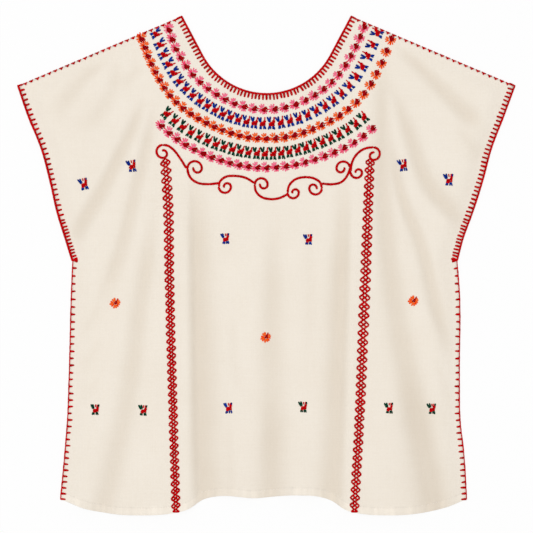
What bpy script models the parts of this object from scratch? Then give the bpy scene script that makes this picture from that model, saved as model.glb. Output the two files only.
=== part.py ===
"""Huipil blouse, laid flat on its back with its front up.

The blouse is a front and a back of one cut, each with its cap sleeves cut in one with the body.
The back lies flat. The front lies on it in soft folds that hang from the round yoke, and meets it
along the shoulders and the sides. Red corded edgings finish the neck, the sleeve openings and the
side seams. Each panel's lower edge is turned up inside as a hem.

Frame: metres, +Z up, the neck towards +Y. The blouse rests on z = 0, and the origin is under the
middle of its outline.
"""

from collections import namedtuple
from math import cos, radians, sin

import bpy
import numpy as np

MM = 0.001

# Cloth and cords
WALL = 1.5 * MM  # thickness of a panel's wall
SEAM_GAP = 0.3 * MM  # clearance between two pieces at a seam
HEM_TURN = 0.8 * MM  # what the turned-up hem adds to the wall
HEM_BAND = 9.0 * MM  # width of the turned-up hem
NECK_CORD = 2.4 * MM  # diameters of the three edgings
SLEEVE_CORD = 2.0 * MM
SIDE_CORD = 1.6 * MM
CORD_CORNER = 1.5 * MM  # how far an edging stops short of a corner

# Neck: an arc about a point on the centre line, and a straight run up to each shoulder
NECK_RADIUS = 101.7 * MM
NECK_CENTRE_Y = 336.7 * MM
NECK_HALF_ARC = radians(62.0)
SHOULDER_TOP_Y = 342.5 * MM

# Grid of a panel: columns along one sleeve and along the neck, rows down the sleeve and the side
SLEEVE_COLUMNS = 11
NECK_COLUMNS = 26
SLEEVE_ROWS = 10
SIDE_ROWS = 15
HEM_NECK_HALF = 112.0 * MM  # half of the hem's stretch that lies under the neck
HEM_STEP = 1.6 * MM  # run of the step where the turned-up hem ends

# Loft: how high the front lies over the lowest it can, at the yoke and over the body
YOKE_LOFT = 1.6 * MM
BODY_LOFT = 8.5 * MM
YOKE_REACH = 165.0 * MM  # from the neck's centre, where the loft starts to grow
BODY_REACH = 330.0 * MM  # and where it is full
EASE_WIDTH = 34.0 * MM  # from a seam or an edge to full loft
NECK_EASE = 26.0 * MM
LOFT_SOFTNESS = 1.1 * MM  # how softly a valley's floor rounds out

Edge = namedtuple("Edge", "y left_x right_x")
# The sleeve opening's edge, from the sleeve's tip at the shoulder down to the underarm, in mm
SLEEVE_EDGE = (
    Edge(248.0, -341.0, 341.0),
    Edge(206.5, -326.7, 325.7),
    Edge(162.0, -308.7, 308.7),
    Edge(117.5, -296.7, 296.7),
    Edge(73.5, -286.7, 282.7),
    Edge(38.0, -275.7, 269.7),
    Edge(7.5, -266.2, 261.7),
)
# The side seam, from the underarm down to the hem's corner, in mm
SIDE_EDGE = (
    Edge(7.5, -266.2, 261.7),
    Edge(-37.0, -268.1, 265.1),
    Edge(-148.0, -271.1, 265.1),
    Edge(-214.0, -273.6, 266.1),
    Edge(-258.0, -277.1, 271.1),
    Edge(-322.0, -283.1, 275.1),
)

Hem = namedtuple("Hem", "x y")
# The hem's line, from left to right, in mm: low at the sides, up over the short centre
HEM_LINE = (
    Hem(-283.1, -322.0),
    Hem(-250.0, -334.0),
    Hem(-217.0, -340.6),
    Hem(-175.0, -343.0),
    Hem(-131.0, -340.4),
    Hem(-108.0, -334.6),
    Hem(-86.0, -321.5),
    Hem(-68.0, -317.3),
    Hem(-15.0, -319.6),
    Hem(41.0, -315.6),
    Hem(70.0, -317.2),
    Hem(90.0, -323.8),
    Hem(106.0, -334.0),
    Hem(134.5, -341.4),
    Hem(162.0, -343.0),
    Hem(201.0, -341.6),
    Hem(238.0, -335.4),
    Hem(275.1, -322.0),
)

Fold = namedtuple("Fold", "name depth left right fade_in fade_out route")
# One row for each large fold. Depth is how far the valley sinks, and a ridge's is below zero; left
# and right are its half-widths to each side as its route runs down, in mm. The fades are the shares
# of the route over which it comes and goes. The route is in mm, from the yoke outwards.
FOLDS = (
    Fold("left pleat", 8.5, 9, 25, 0.30, 0.0, ((-101, 165), (-98, 40), (-95, -95), (-92, -230), (-88, -350))),
    Fold("left pleat roll", -2.6, 13, 9, 0.35, 0.0, ((-116, 140), (-113, 20), (-110, -110), (-108, -350))),
    Fold("right pleat", 7.5, 18, 9, 0.30, 0.0, ((110, 160), (107, 45), (102, -93), (97, -231), (92, -350))),
    Fold("right pleat roll", -2.4, 9, 13, 0.35, 0.0, ((122, 140), (120, 20), (115, -110), (110, -350))),
    Fold("centre", 4.2, 17, 18, 0.30, 0.0, ((9, 95), (9, -2), (7, -93), (8, -186), (5, -350))),
    Fold(
        "left sling", 7.0, 8, 10, 0.25, 0.0,
        ((-166, 242), (-181, 199), (-201, 156), (-222, 112), (-262, 46)),
    ),
    Fold("left sleeve, outer", 3.4, 14, 9, 0.25, 0.40, ((-214, 288), (-249, 260), (-268, 236), (-296, 190))),
    Fold("left sleeve, inner", 2.6, 11, 11, 0.30, 0.40, ((-203, 292), (-211, 245), (-226, 215), (-264, 176))),
    Fold(
        "left long, upper", 5.0, 8, 11, 0.20, 0.30,
        ((-151, 236), (-170, 146), (-181, 104), (-201, 21), (-242, -84)),
    ),
    Fold("left long, lower", 5.2, 14, 13, 0.25, 0.0, ((-148, 110), (-172, -48), (-191, -186), (-228, -350))),
    Fold("right long", 6.8, 16, 15, 0.12, 0.0, ((161, 295), (158, 146), (167, 21), (190, -124), (237, -350))),
    Fold("right skirt", 2.4, 30, 30, 0.45, 0.0, ((192, -110), (208, -220), (224, -350))),
    Fold(
        "right sleeve", 5.8, 10, 11, 0.25, 0.20,
        ((170, 308), (200, 284), (240, 244), (271, 212), (306, 186)),
    ),
    Fold("right sling", 7.0, 10, 12, 0.35, 0.0, ((165, 268), (182, 222), (203, 162), (224, 109), (276, 55))),
    Fold(
        "right long, upper", 6.0, 10, 9, 0.25, 0.30,
        ((164, 200), (188, 92), (213, 28), (232, -48), (266, -151)),
    ),
)
ROUTE_STEPS = 24  # straight runs that stand for a fold's smooth route

Finish = namedtuple("Finish", "name color roughness")
CLOTH = Finish("cotton_cloth", (0.855, 0.783, 0.672), 0.92)
THREAD = Finish("red_thread", (0.450, 0.004, 0.008), 0.62)


def smoothstep(low, high, value):
    """0 up to low, 1 from high, and 3t^2 - 2t^3 between them."""
    t = np.clip((value - low) / (high - low), 0.0, 1.0)
    return t * t * (3.0 - 2.0 * t)


def curve_through(knots, values, at):
    """Cubic Hermite curve through (knots, values), its slopes from the neighbours, its ends held."""
    slopes = np.gradient(values, knots)
    at = np.clip(at, knots[0], knots[-1])
    i = np.clip(np.searchsorted(knots, at) - 1, 0, len(knots) - 2)
    span = knots[i + 1] - knots[i]
    t = (at - knots[i]) / span
    start = (2 * t**3 - 3 * t**2 + 1) * values[i] + (t**3 - 2 * t**2 + t) * span * slopes[i]
    end = (3 * t**2 - 2 * t**3) * values[i + 1] + (t**3 - t**2) * span * slopes[i + 1]
    return start + end


def edge_x(y, side):
    """x of the panel's side edge at height y: side is 1 for left_x and 2 for right_x."""
    parts = []
    for rows in (SLEEVE_EDGE, SIDE_EDGE):
        table = np.array(rows[::-1]) * MM
        parts.append(curve_through(table[:, 0], table[:, side], y))
    return np.where(y > SIDE_EDGE[0].y * MM, parts[0], parts[1])


def neck_point(share):
    """Point of the neck's edge at a share of its length, from the left shoulder to the right."""
    foot_x = NECK_RADIUS * sin(NECK_HALF_ARC)
    foot_y = NECK_CENTRE_Y - NECK_RADIUS * cos(NECK_HALF_ARC)
    run = (SHOULDER_TOP_Y - foot_y) / sin(NECK_HALF_ARC)
    half_arc = NECK_RADIUS * NECK_HALF_ARC
    along = (share * 2.0 - 1.0) * (run + half_arc)
    angle = np.clip(along, -half_arc, half_arc) / NECK_RADIUS
    past = np.maximum(np.abs(along) - half_arc, 0.0)
    x = NECK_RADIUS * np.sin(angle) + np.sign(along) * past * cos(NECK_HALF_ARC)
    y = NECK_CENTRE_Y - NECK_RADIUS * np.cos(angle) + past * sin(NECK_HALF_ARC)
    return np.stack([x, y], axis=-1)


def top_edge():
    """Left shoulder, neck and right shoulder as one row of points."""
    neck = neck_point(np.linspace(0.0, 1.0, NECK_COLUMNS + 1))
    tip = SLEEVE_EDGE[0]
    share = np.linspace(0.0, 1.0, SLEEVE_COLUMNS + 1)[:-1, None]
    left_tip, right_tip = np.array([(tip.left_x, tip.y), (tip.right_x, tip.y)]) * MM
    left = left_tip * (1.0 - share) + neck[0] * share
    right = right_tip * (1.0 - share) + neck[-1] * share
    return np.concatenate([left, neck, right[::-1]])


def hem_edge():
    """The hem's row of points, one for each column of the grid."""
    table = np.array(HEM_LINE) * MM
    left = np.linspace(table[0, 0], -HEM_NECK_HALF, SLEEVE_COLUMNS + 1)[:-1]
    middle = np.linspace(-HEM_NECK_HALF, HEM_NECK_HALF, NECK_COLUMNS + 1)
    right = np.linspace(HEM_NECK_HALF, table[-1, 0], SLEEVE_COLUMNS + 1)[1:]
    x = np.concatenate([left, middle, right])
    return np.stack([x, curve_through(table[:, 0], table[:, 1], x)], axis=-1)


def row_shares():
    """Share of the panel's height at each row: the underarm has a row, and the hem's step three."""
    height = (SLEEVE_EDGE[0].y - SIDE_EDGE[-1].y) * MM
    underarm = (SLEEVE_EDGE[0].y - SIDE_EDGE[0].y) * MM / height
    band = 1.0 - HEM_BAND / height
    step = band - HEM_STEP / height
    sleeve = np.linspace(0.0, underarm, SLEEVE_ROWS + 1)
    side = np.linspace(underarm, step, SIDE_ROWS + 1)[1:]
    return np.concatenate([sleeve, side, [band, 1.0]])


def panel_grid():
    """Rows of (x, y) points over a panel.

    A Coons patch: the blend of the top edge into the hem, plus the blend of the left edge into the
    right, less the blend of the four corners.
    """
    top, hem = top_edge(), hem_edge()
    u = ((hem[:, 0] - hem[0, 0]) / (hem[-1, 0] - hem[0, 0]))[None, :, None]
    v = row_shares()[:, None, None]
    y = (SLEEVE_EDGE[0].y * (1.0 - v) + SIDE_EDGE[-1].y * v) * MM
    left = np.concatenate([edge_x(y, 1), y], axis=-1)
    right = np.concatenate([edge_x(y, 2), y], axis=-1)
    corners = (1 - u) * ((1 - v) * top[0] + v * hem[0]) + u * ((1 - v) * top[-1] + v * hem[-1])
    return (1 - v) * top[None] + v * hem[None] + (1 - u) * left + u * right - corners


def smooth_route(points):
    """The route's own points joined by a smooth curve, as a row of short straight runs."""
    points = np.array(points, float) * MM
    knots = np.concatenate([[0.0], np.cumsum(np.hypot(*np.diff(points, axis=0).T))])
    at = np.linspace(0.0, knots[-1], ROUTE_STEPS + 1)
    return np.stack([curve_through(knots, points[:, k], at) for k in (0, 1)], axis=-1)


def fold_shape(x, y, fold):
    """1 along the fold's route, falling to each side as exp(-(distance / half-width)^2).

    The distance is to the nearest straight run of the route, and its share of the route's length
    sets how far the fold has come in or gone out there. The half-widths grow along it, from 0.6 to
    1.2 of what the table says.
    """
    route = smooth_route(fold.route)
    nearest = np.full(x.shape, np.inf)
    side = np.zeros(x.shape)
    share = np.zeros(x.shape)
    for k, (start, end) in enumerate(zip(route[:-1], route[1:])):
        run = end - start
        dx, dy = x - start[0], y - start[1]
        t = np.clip((dx * run[0] + dy * run[1]) / (run @ run), 0.0, 1.0)
        distance = np.hypot(dx - t * run[0], dy - t * run[1])
        closer = distance < nearest
        nearest = np.where(closer, distance, nearest)
        side = np.where(closer, run[0] * dy - run[1] * dx, side)
        share = np.where(closer, (k + t) / ROUTE_STEPS, share)
    half_width = np.where(side < 0, fold.left, fold.right) * MM * (0.6 + 0.6 * share)
    coming = smoothstep(0.0, fold.fade_in, share)
    going = 1.0 - smoothstep(1.0 - fold.fade_out, 1.0, share) if fold.fade_out else 1.0
    return np.exp(-((nearest / half_width) ** 2)) * coming * going


def ease(x, y):
    """0 along the seams and the sleeve openings, 1 a hand's breadth inside them."""
    shoulder_slope = (SHOULDER_TOP_Y - SLEEVE_EDGE[0].y * MM) / (SLEEVE_EDGE[0].right_x * MM - neck_half())
    from_side = np.minimum(x - edge_x(y, 1), edge_x(y, 2) - x)
    shoulder_y = SHOULDER_TOP_Y - shoulder_slope * (np.abs(x) - neck_half())
    from_neck = np.hypot(x, y - NECK_CENTRE_Y) - NECK_RADIUS
    return (
        smoothstep(0.0, EASE_WIDTH, from_side)
        * smoothstep(0.0, EASE_WIDTH, shoulder_y - y)
        * smoothstep(0.0, NECK_EASE, from_neck)
    )


def neck_half():
    """Half of the neck's width at the shoulders."""
    return neck_point(1.0)[0]


def front_top(x, y, share):
    """Height of the front's upper face: the lowest it can lie, plus its loft less its folds."""
    in_hem = smoothstep(1.0 - 5 * HEM_BAND, 1.0 - HEM_BAND, share)
    lowest = 2 * WALL + SEAM_GAP + 2 * HEM_TURN * in_hem
    from_neck = np.hypot(x, y - NECK_CENTRE_Y)
    loft = YOKE_LOFT + (BODY_LOFT - YOKE_LOFT) * smoothstep(YOKE_REACH, BODY_REACH, from_neck)
    for fold in FOLDS:
        loft = loft - fold.depth * MM * fold_shape(x, y, fold)
    rounded = LOFT_SOFTNESS * np.logaddexp(0.0, loft / LOFT_SOFTNESS)
    return lowest + rounded * ease(x, y)


def hem_thickness(shares):
    """Wall thickness of each row: the turned-up hem thickens the last two."""
    in_hem = shares > 1.0 - 1.01 * HEM_BAND / ((SLEEVE_EDGE[0].y - SIDE_EDGE[-1].y) * MM)
    return (WALL + HEM_TURN * in_hem)[:, None]


def finish(obj, look, parent):
    """Gives an object its own material and its place under the blouse's empty."""
    material = bpy.data.materials.new(f"{look.name}_{obj.name}")
    material.use_nodes = True
    shader = material.node_tree.nodes["Principled BSDF"]
    shader.inputs["Base Color"].default_value = (*look.color, 1.0)
    shader.inputs["Roughness"].default_value = look.roughness
    material.diffuse_color = (*look.color, 1.0)
    obj.data.materials.append(material)
    obj.parent = parent
    return obj


def panel(name, grid, low, high, parent):
    """A wall of cloth between two heights over one grid, closed round its edges."""
    rows, columns = low.shape
    count = rows * columns
    points = np.concatenate([np.dstack([grid, high]), np.dstack([grid, low])]).reshape(-1, 3)
    number = np.arange(count).reshape(rows, columns)
    cells = np.stack([number[:-1, :-1], number[1:, :-1], number[1:, 1:], number[:-1, 1:]], axis=-1)
    upper = cells.reshape(-1, 4)
    lower = upper[:, ::-1] + count
    loop = np.concatenate([number[0, :-1], number[:-1, -1], number[-1, :0:-1], number[:0:-1, 0]])
    after = np.roll(loop, -1)
    edge = np.stack([loop, after, after + count, loop + count], axis=-1)
    mesh = bpy.data.meshes.new(name)
    mesh.from_pydata(points.tolist(), [], np.concatenate([upper, lower, edge]).tolist())
    mesh.validate()
    mesh.shade_smooth()
    mesh.set_sharp_from_angle(angle=radians(40.0))
    obj = bpy.data.objects.new(name, mesh)
    bpy.context.scene.collection.objects.link(obj)
    return finish(obj, CLOTH, parent)


def flatten_plain_faces(obj):
    """Joins the grid's cells where the panel is flat, so that a plain panel has few faces."""
    dissolve = obj.modifiers.new("Join flat cells", "DECIMATE")
    dissolve.decimate_type = "DISSOLVE"
    dissolve.angle_limit = radians(0.05)
    return obj


def moved_out(edge, distance):
    """A row of edge points moved out to its left by a distance, with mitred corners."""
    run = np.diff(edge, axis=0)
    run /= np.linalg.norm(run, axis=1)[:, None]
    before = np.concatenate([run[:1], run])
    after = np.concatenate([run, run[-1:]])
    across = np.stack([-(before + after)[:, 1], (before + after)[:, 0]], axis=-1)
    across /= np.linalg.norm(across, axis=1)[:, None]
    mitre = -before[:, 1] * across[:, 0] + before[:, 0] * across[:, 1]
    return edge + across * (distance / mitre)[:, None]


def shortened(route, start, end):
    """The route with its first and last runs cut back by the two lengths."""
    route = route.copy()
    for tip, inner, cut in ((0, 1, start), (-1, -2, end)):
        run = route[inner] - route[tip]
        route[tip] += run / np.linalg.norm(run) * cut
    return route


def edging(name, edge, diameter, z, cuts, parent):
    """A round cord along a panel's edge, a seam's gap outside it, at one height."""
    route = shortened(moved_out(edge, SEAM_GAP + diameter / 2), *cuts)
    curve = bpy.data.curves.new(name, "CURVE")
    curve.dimensions = "3D"
    curve.bevel_depth = diameter / 2
    curve.bevel_resolution = 2
    curve.use_fill_caps = True
    spline = curve.splines.new("POLY")
    spline.points.add(len(route) - 1)
    for point, (x, y) in zip(spline.points, route):
        point.co = (x, y, z, 1.0)
    obj = bpy.data.objects.new(name, curve)
    bpy.context.scene.collection.objects.link(obj)
    return finish(obj, THREAD, parent)


def build_edgings(grid, parent):
    """The neck's and the sleeves' edgings, one on each panel, and the joined sides' edgings."""
    neck = grid[0, SLEEVE_COLUMNS : SLEEVE_COLUMNS + NECK_COLUMNS + 1]
    left, right = grid[:, 0], grid[:, -1]
    under = SLEEVE_ROWS
    layers = (("back", 0.0), ("front", 1.0))
    for layer, level in layers:
        for place, edge, size, cuts in (
            ("neck", neck, NECK_CORD, (0.0, 0.0)),
            ("left_sleeve", left[: under + 1][::-1], SLEEVE_CORD, (CORD_CORNER, 0.0)),
            ("right_sleeve", right[: under + 1], SLEEVE_CORD, (0.0, CORD_CORNER)),
        ):
            z = size / 2 + level * (size + SEAM_GAP)
            edging(f"{place}_edging_{layer}", edge, size, z, cuts, parent)
    seam = WALL + SEAM_GAP / 2
    edging("left_side_edging", left[under:][::-1], SIDE_CORD, seam, (0.0, CORD_CORNER), parent)
    edging("right_side_edging", right[under:], SIDE_CORD, seam, (CORD_CORNER, 0.0), parent)


def main():
    for obj in list(bpy.data.objects):
        bpy.data.objects.remove(obj, do_unlink=True)
    blouse = bpy.data.objects.new("huipil_blouse", None)
    bpy.context.scene.collection.objects.link(blouse)

    grid = panel_grid()
    shares = row_shares()
    thickness = hem_thickness(shares)
    flat = np.zeros(grid.shape[:2])
    back = panel("back_panel", grid, flat, flat + thickness, blouse)
    flatten_plain_faces(back)
    high = front_top(grid[..., 0], grid[..., 1], shares[:, None])
    panel("front_panel", grid, high - thickness, high, blouse)
    build_edgings(grid, blouse)


main()
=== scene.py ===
"""Huipil blouse, laid flat: cloth, edgings and embroidery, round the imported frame.

The front and back are thin shells on grids that follow the cut's outline. The front's height is
worked out from a table of folds, and every thread lies on that height. Threads are joined meshes of
short strands, each with a twisted ply.

Metres, +Z up, the neck towards +Y, and the blouse lies on z = 0. Tables are in millimetres.
"""

from collections import namedtuple
from functools import partial
from math import cos, pi, radians, sin, tan, tau

import bpy
import numpy as np
from bpy.props import FloatProperty, FloatVectorProperty, IntProperty, PointerProperty
from bpy.types import Operator, Panel, PropertyGroup
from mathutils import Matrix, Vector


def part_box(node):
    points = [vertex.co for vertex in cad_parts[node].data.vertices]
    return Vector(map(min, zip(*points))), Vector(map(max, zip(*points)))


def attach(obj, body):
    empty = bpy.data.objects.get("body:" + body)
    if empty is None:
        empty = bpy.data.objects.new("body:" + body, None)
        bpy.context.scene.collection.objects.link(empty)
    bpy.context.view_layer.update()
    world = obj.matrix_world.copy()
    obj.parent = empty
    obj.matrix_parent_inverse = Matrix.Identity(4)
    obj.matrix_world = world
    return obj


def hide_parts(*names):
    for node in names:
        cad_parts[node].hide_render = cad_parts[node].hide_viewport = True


bl_info = {
    "name": "Huipil blouse",
    "version": (1, 0, 0),
    "blender": (4, 5, 0),
    "location": "3D View > Sidebar > Blouse",
    "description": "Lays out an embroidered cotton blouse with its edgings and stage",
    "category": "Object",
}

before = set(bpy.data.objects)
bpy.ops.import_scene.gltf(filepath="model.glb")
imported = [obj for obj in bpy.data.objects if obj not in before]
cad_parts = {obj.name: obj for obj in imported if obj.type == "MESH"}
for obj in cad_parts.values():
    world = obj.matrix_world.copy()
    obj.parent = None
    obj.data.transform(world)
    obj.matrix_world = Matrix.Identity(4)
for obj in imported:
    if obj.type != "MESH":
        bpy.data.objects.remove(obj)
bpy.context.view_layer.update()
MM = 0.001

# ---------------------------------------------------------------------------------------------
# The cut: neck, shoulders, sleeve openings, sides and hem
# ---------------------------------------------------------------------------------------------

NECK_RADIUS = 101.7 * MM
NECK_CENTRE_Y = 336.7 * MM
NECK_HALF_ARC = radians(62.0)
SHOULDER_TOP_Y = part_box("front_panel")[1].y

Edge = namedtuple("Edge", "y left_x right_x")
# The sleeve opening's edge, from the sleeve's tip down to the underarm
SLEEVE_EDGE = (
    Edge(248.0, -341.0, 341.0),
    Edge(206.5, -326.7, 325.7),
    Edge(162.0, -308.7, 308.7),
    Edge(117.5, -296.7, 296.7),
    Edge(73.5, -286.7, 282.7),
    Edge(38.0, -275.7, 269.7),
    Edge(7.5, -266.2, 261.7),
)
# The side seam, from the underarm down to the hem's corner
SIDE_EDGE = (
    Edge(7.5, -266.2, 261.7),
    Edge(-37.0, -268.1, 265.1),
    Edge(-148.0, -271.1, 265.1),
    Edge(-214.0, -273.6, 266.1),
    Edge(-258.0, -277.1, 271.1),
    Edge(-322.0, -283.1, 275.1),
)
Hem = namedtuple("Hem", "x y")
# The hem's line, low at the sides and up over the short centre
HEM_LINE = (
    Hem(-283.1, -322.0),
    Hem(-250.0, -334.0),
    Hem(-217.0, -340.6),
    Hem(-175.0, -343.0),
    Hem(-131.0, -340.4),
    Hem(-108.0, -334.6),
    Hem(-86.0, -321.5),
    Hem(-68.0, -317.3),
    Hem(-15.0, -319.6),
    Hem(41.0, -315.6),
    Hem(70.0, -317.2),
    Hem(90.0, -323.8),
    Hem(106.0, -334.0),
    Hem(134.5, -341.4),
    Hem(162.0, -343.0),
    Hem(201.0, -341.6),
    Hem(238.0, -335.4),
    Hem(275.1, -322.0),
)
SLEEVE_TIP_Y, UNDERARM_Y, CORNER_Y = SLEEVE_EDGE[0].y * MM, SIDE_EDGE[0].y * MM, SIDE_EDGE[-1].y * MM
# The neck's arc ends at its feet, runs on straight to the shoulder, and the shoulder falls to the tip
NECK_FOOT_X = NECK_RADIUS * sin(NECK_HALF_ARC)
NECK_FOOT_Y = NECK_CENTRE_Y - NECK_RADIUS * cos(NECK_HALF_ARC)
NECK_HALF_WIDTH = NECK_FOOT_X + (SHOULDER_TOP_Y - NECK_FOOT_Y) / tan(NECK_HALF_ARC)
SHOULDER_SLOPE = (SHOULDER_TOP_Y - SLEEVE_TIP_Y) / (SLEEVE_EDGE[0].right_x * MM - NECK_HALF_WIDTH)

# ---------------------------------------------------------------------------------------------
# The lie of the front: its loft over the back, its folds and its small creases
# ---------------------------------------------------------------------------------------------

YOKE_LOFT = 1.6 * MM
BODY_LOFT = 8.5 * MM
YOKE_REACH = 165.0 * MM
BODY_REACH = 330.0 * MM
EASE_WIDTH = 34.0 * MM
NECK_EASE = 26.0 * MM
LOFT_SOFTNESS = 1.1 * MM
ROUTE_STEPS = 24
FOLD_WIDTHS = 0.6, 1.2  # a fold's half-widths at its start and its end, over the table's
# The painted shade in a valley: the depth in mm that counts as one, its power, the most it sums to, the
# ease's power
HOLLOW_DEPTH, HOLLOW_POWER, HOLLOW_MOST, HOLLOW_EASE = 10.0, 0.7, 1.2, 0.25

Fold = namedtuple("Fold", "name depth left right fade_in fade_out route")
# A row for each fold. Depth is how far a valley sinks, and a ridge's is below zero. Left and right
# are its half-widths to each side as its route runs down. The fades are the shares of the route
# over which it comes and goes. The route's points run from the yoke outwards.
FOLDS = (
    Fold("left pleat", 8.5, 9, 25, 0.30, 0.0, ((-101, 165), (-98, 40), (-95, -95), (-92, -230), (-88, -350))),
    Fold("left pleat roll", -2.6, 13, 9, 0.35, 0.0, ((-116, 140), (-113, 20), (-110, -110), (-108, -350))),
    Fold("right pleat", 7.5, 18, 9, 0.30, 0.0, ((110, 160), (107, 45), (102, -93), (97, -231), (92, -350))),
    Fold("right pleat roll", -2.4, 9, 13, 0.35, 0.0, ((122, 140), (120, 20), (115, -110), (110, -350))),
    Fold("centre", 4.2, 17, 18, 0.30, 0.0, ((9, 95), (9, -2), (7, -93), (8, -186), (5, -350))),
    Fold(
        "left sling", 7.0, 8, 10, 0.25, 0.0,
        ((-166, 242), (-181, 199), (-201, 156), (-222, 112), (-262, 46)),
    ),
    Fold("left sleeve, outer", 3.4, 14, 9, 0.25, 0.40, ((-214, 288), (-249, 260), (-268, 236), (-296, 190))),
    Fold("left sleeve, inner", 2.6, 11, 11, 0.30, 0.40, ((-203, 292), (-211, 245), (-226, 215), (-264, 176))),
    Fold(
        "left long, upper", 5.0, 8, 11, 0.20, 0.30,
        ((-151, 236), (-170, 146), (-181, 104), (-201, 21), (-242, -84)),
    ),
    Fold("left long, lower", 5.2, 14, 13, 0.25, 0.0, ((-148, 110), (-172, -48), (-191, -186), (-228, -350))),
    Fold("right long", 6.8, 16, 15, 0.12, 0.0, ((161, 295), (158, 146), (167, 21), (190, -124), (237, -350))),
    Fold("right skirt", 2.4, 30, 30, 0.45, 0.0, ((192, -110), (208, -220), (224, -350))),
    Fold(
        "right sleeve", 5.8, 10, 11, 0.25, 0.20,
        ((170, 308), (200, 284), (240, 244), (271, 212), (306, 186)),
    ),
    Fold("right sling", 7.0, 10, 12, 0.35, 0.0, ((165, 268), (182, 222), (203, 162), (224, 109), (276, 55))),
    Fold(
        "right long, upper", 6.0, 10, 9, 0.25, 0.30,
        ((164, 200), (188, 92), (213, 28), (232, -48), (266, -151)),
    ),
)
# Creases that are too small for the frame
CREASES = (
    Fold("left side, upper", 0.9, 7, 9, 0.35, 0.45, ((-226, -52), (-244, -78), (-262, -100))),
    Fold("left side, middle", 0.8, 7, 8, 0.35, 0.45, ((-222, -96), (-242, -124), (-264, -146))),
    Fold("left side, lower", 0.6, 6, 8, 0.35, 0.45, ((-228, -150), (-246, -176), (-266, -190))),
    Fold("right side, upper", 0.9, 8, 7, 0.35, 0.45, ((214, -30), (238, -80), (258, -128))),
    Fold("right side, lower", 0.7, 8, 6, 0.35, 0.45, ((226, -120), (246, -160), (262, -210))),
    Fold("left of the centre", 0.9, 9, 9, 0.35, 0.35, ((-47, -60), (-44, -120), (-40, -190))),
    Fold("left of the centre, low", 0.9, 8, 8, 0.40, 0.0, ((-52, -200), (-50, -270), (-44, -350))),
    Fold("right of the centre", 0.8, 9, 9, 0.35, 0.35, ((58, 70), (60, -40), (56, -150))),
    Fold("centre, low", 2.0, 13, 20, 0.50, 0.0, ((4, -160), (6, -250), (10, -350))),
    Fold("left sleeve, third", 1.8, 9, 9, 0.30, 0.40, ((-168, 282), (-181, 265), (-195, 250), (-208, 236))),
    Fold("right sleeve, under", 1.8, 10, 12, 0.35, 0.20, ((258, 196), (282, 167), (302, 144))),
)
Swell = namedtuple("Swell", "height length_x length_y phase")
# Broad unevenness of cloth that was smoothed by hand
SWELLS = (
    Swell(0.34, 150, 260, 0.4),
    Swell(0.26, -95, 190, 2.1),
    Swell(0.18, 61, -130, 4.4),
    Swell(0.10, 38, 90, 1.2),
)

# How many points a line has before it is read off at even steps
EDGE_POINTS, NECK_POINTS, STRIP_POINTS, HEM_POINTS, ARC_POINTS = 300, 400, 600, 900, 24

# The two shells of cloth
CLOTH_WALL = 0.55 * MM
BACK_LOW = 0.95 * MM  # the back's underside, clear of the stitches under it
BACK_EDGE_LIFT = 0.55 * MM  # how far the back rises to meet the front at its edges
FRONT_LOW = 2.9 * MM  # the front's upper face where it is lowest
HEM_BAND = 8.5 * MM
HEM_FOLD = 1.25 * MM  # outer thickness of the turned-up hem
HEM_LIFT = 0.4 * MM
HEM_LIFT_FADE = 4.0 * MM
HEM_TURN = (45, 90, 135, 180)  # where rows of points stand round the hem's fold, in degrees
HEM_ROWS = (2.5, 5.5, 8.5)  # and how far up inside they stand, in mm
SLOPE_ROWS = 5  # how many rows of the grid give the hem's slope
BACK_UNEVEN = 0.35  # the back's unevenness over the front's
SLEEVE_CELLS, NECK_CELLS, SLEEVE_ROWS, SIDE_ROWS = 50, 90, 74, 104
HEM_NECK_HALF = 112.0 * MM


def smoothstep(low, high, value):
    """0 up to low, 1 from high, and 3t^2 - 2t^3 between them."""
    t = np.clip((value - low) / (high - low), 0.0, 1.0)
    return t * t * (3.0 - 2.0 * t)


def curve_through(knots, values, at):
    """Cubic Hermite curve through (knots, values), its slopes from the neighbours, its ends held."""
    slopes = np.gradient(values, knots)
    at = np.clip(at, knots[0], knots[-1])
    i = np.clip(np.searchsorted(knots, at) - 1, 0, len(knots) - 2)
    span = knots[i + 1] - knots[i]
    t = (at - knots[i]) / span
    start = (2 * t**3 - 3 * t**2 + 1) * values[i] + (t**3 - 2 * t**2 + t) * span * slopes[i]
    end = (3 * t**2 - 2 * t**3) * values[i + 1] + (t**3 - t**2) * span * slopes[i + 1]
    return start + end


def run_lengths(points):
    """How far along a line of points each of them lies."""
    return np.concatenate([[0.0], np.cumsum(np.hypot(*np.diff(points, axis=0).T))])


def smooth_line(points, step=None, count=None):
    """Points in mm joined by a smooth curve, read off every step metres, or as count points."""
    points = np.array(points, float) * MM
    knots = run_lengths(points)
    at = np.linspace(0.0, knots[-1], count or int(knots[-1] / step) + 2)
    return np.stack([curve_through(knots, points[:, k], at) for k in (0, 1)], axis=-1)


def edge_x(y, side):
    """x of the cut's side edge at height y: side is 1 for left_x and 2 for right_x."""
    tables = [np.array(rows[::-1]) * MM for rows in (SLEEVE_EDGE, SIDE_EDGE)]
    sleeve, body = (curve_through(table[:, 0], table[:, side], y) for table in tables)
    return np.where(y > UNDERARM_Y, sleeve, body)


def hem_y(x):
    """y of the hem's line at x."""
    table = np.array(HEM_LINE) * MM
    return curve_through(table[:, 0], table[:, 1], x)


def shoulder_y(x):
    """y of the shoulder line, straight from the neck down to the sleeve's tip."""
    return SHOULDER_TOP_Y - SHOULDER_SLOPE * (np.abs(x) - NECK_HALF_WIDTH)


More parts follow.
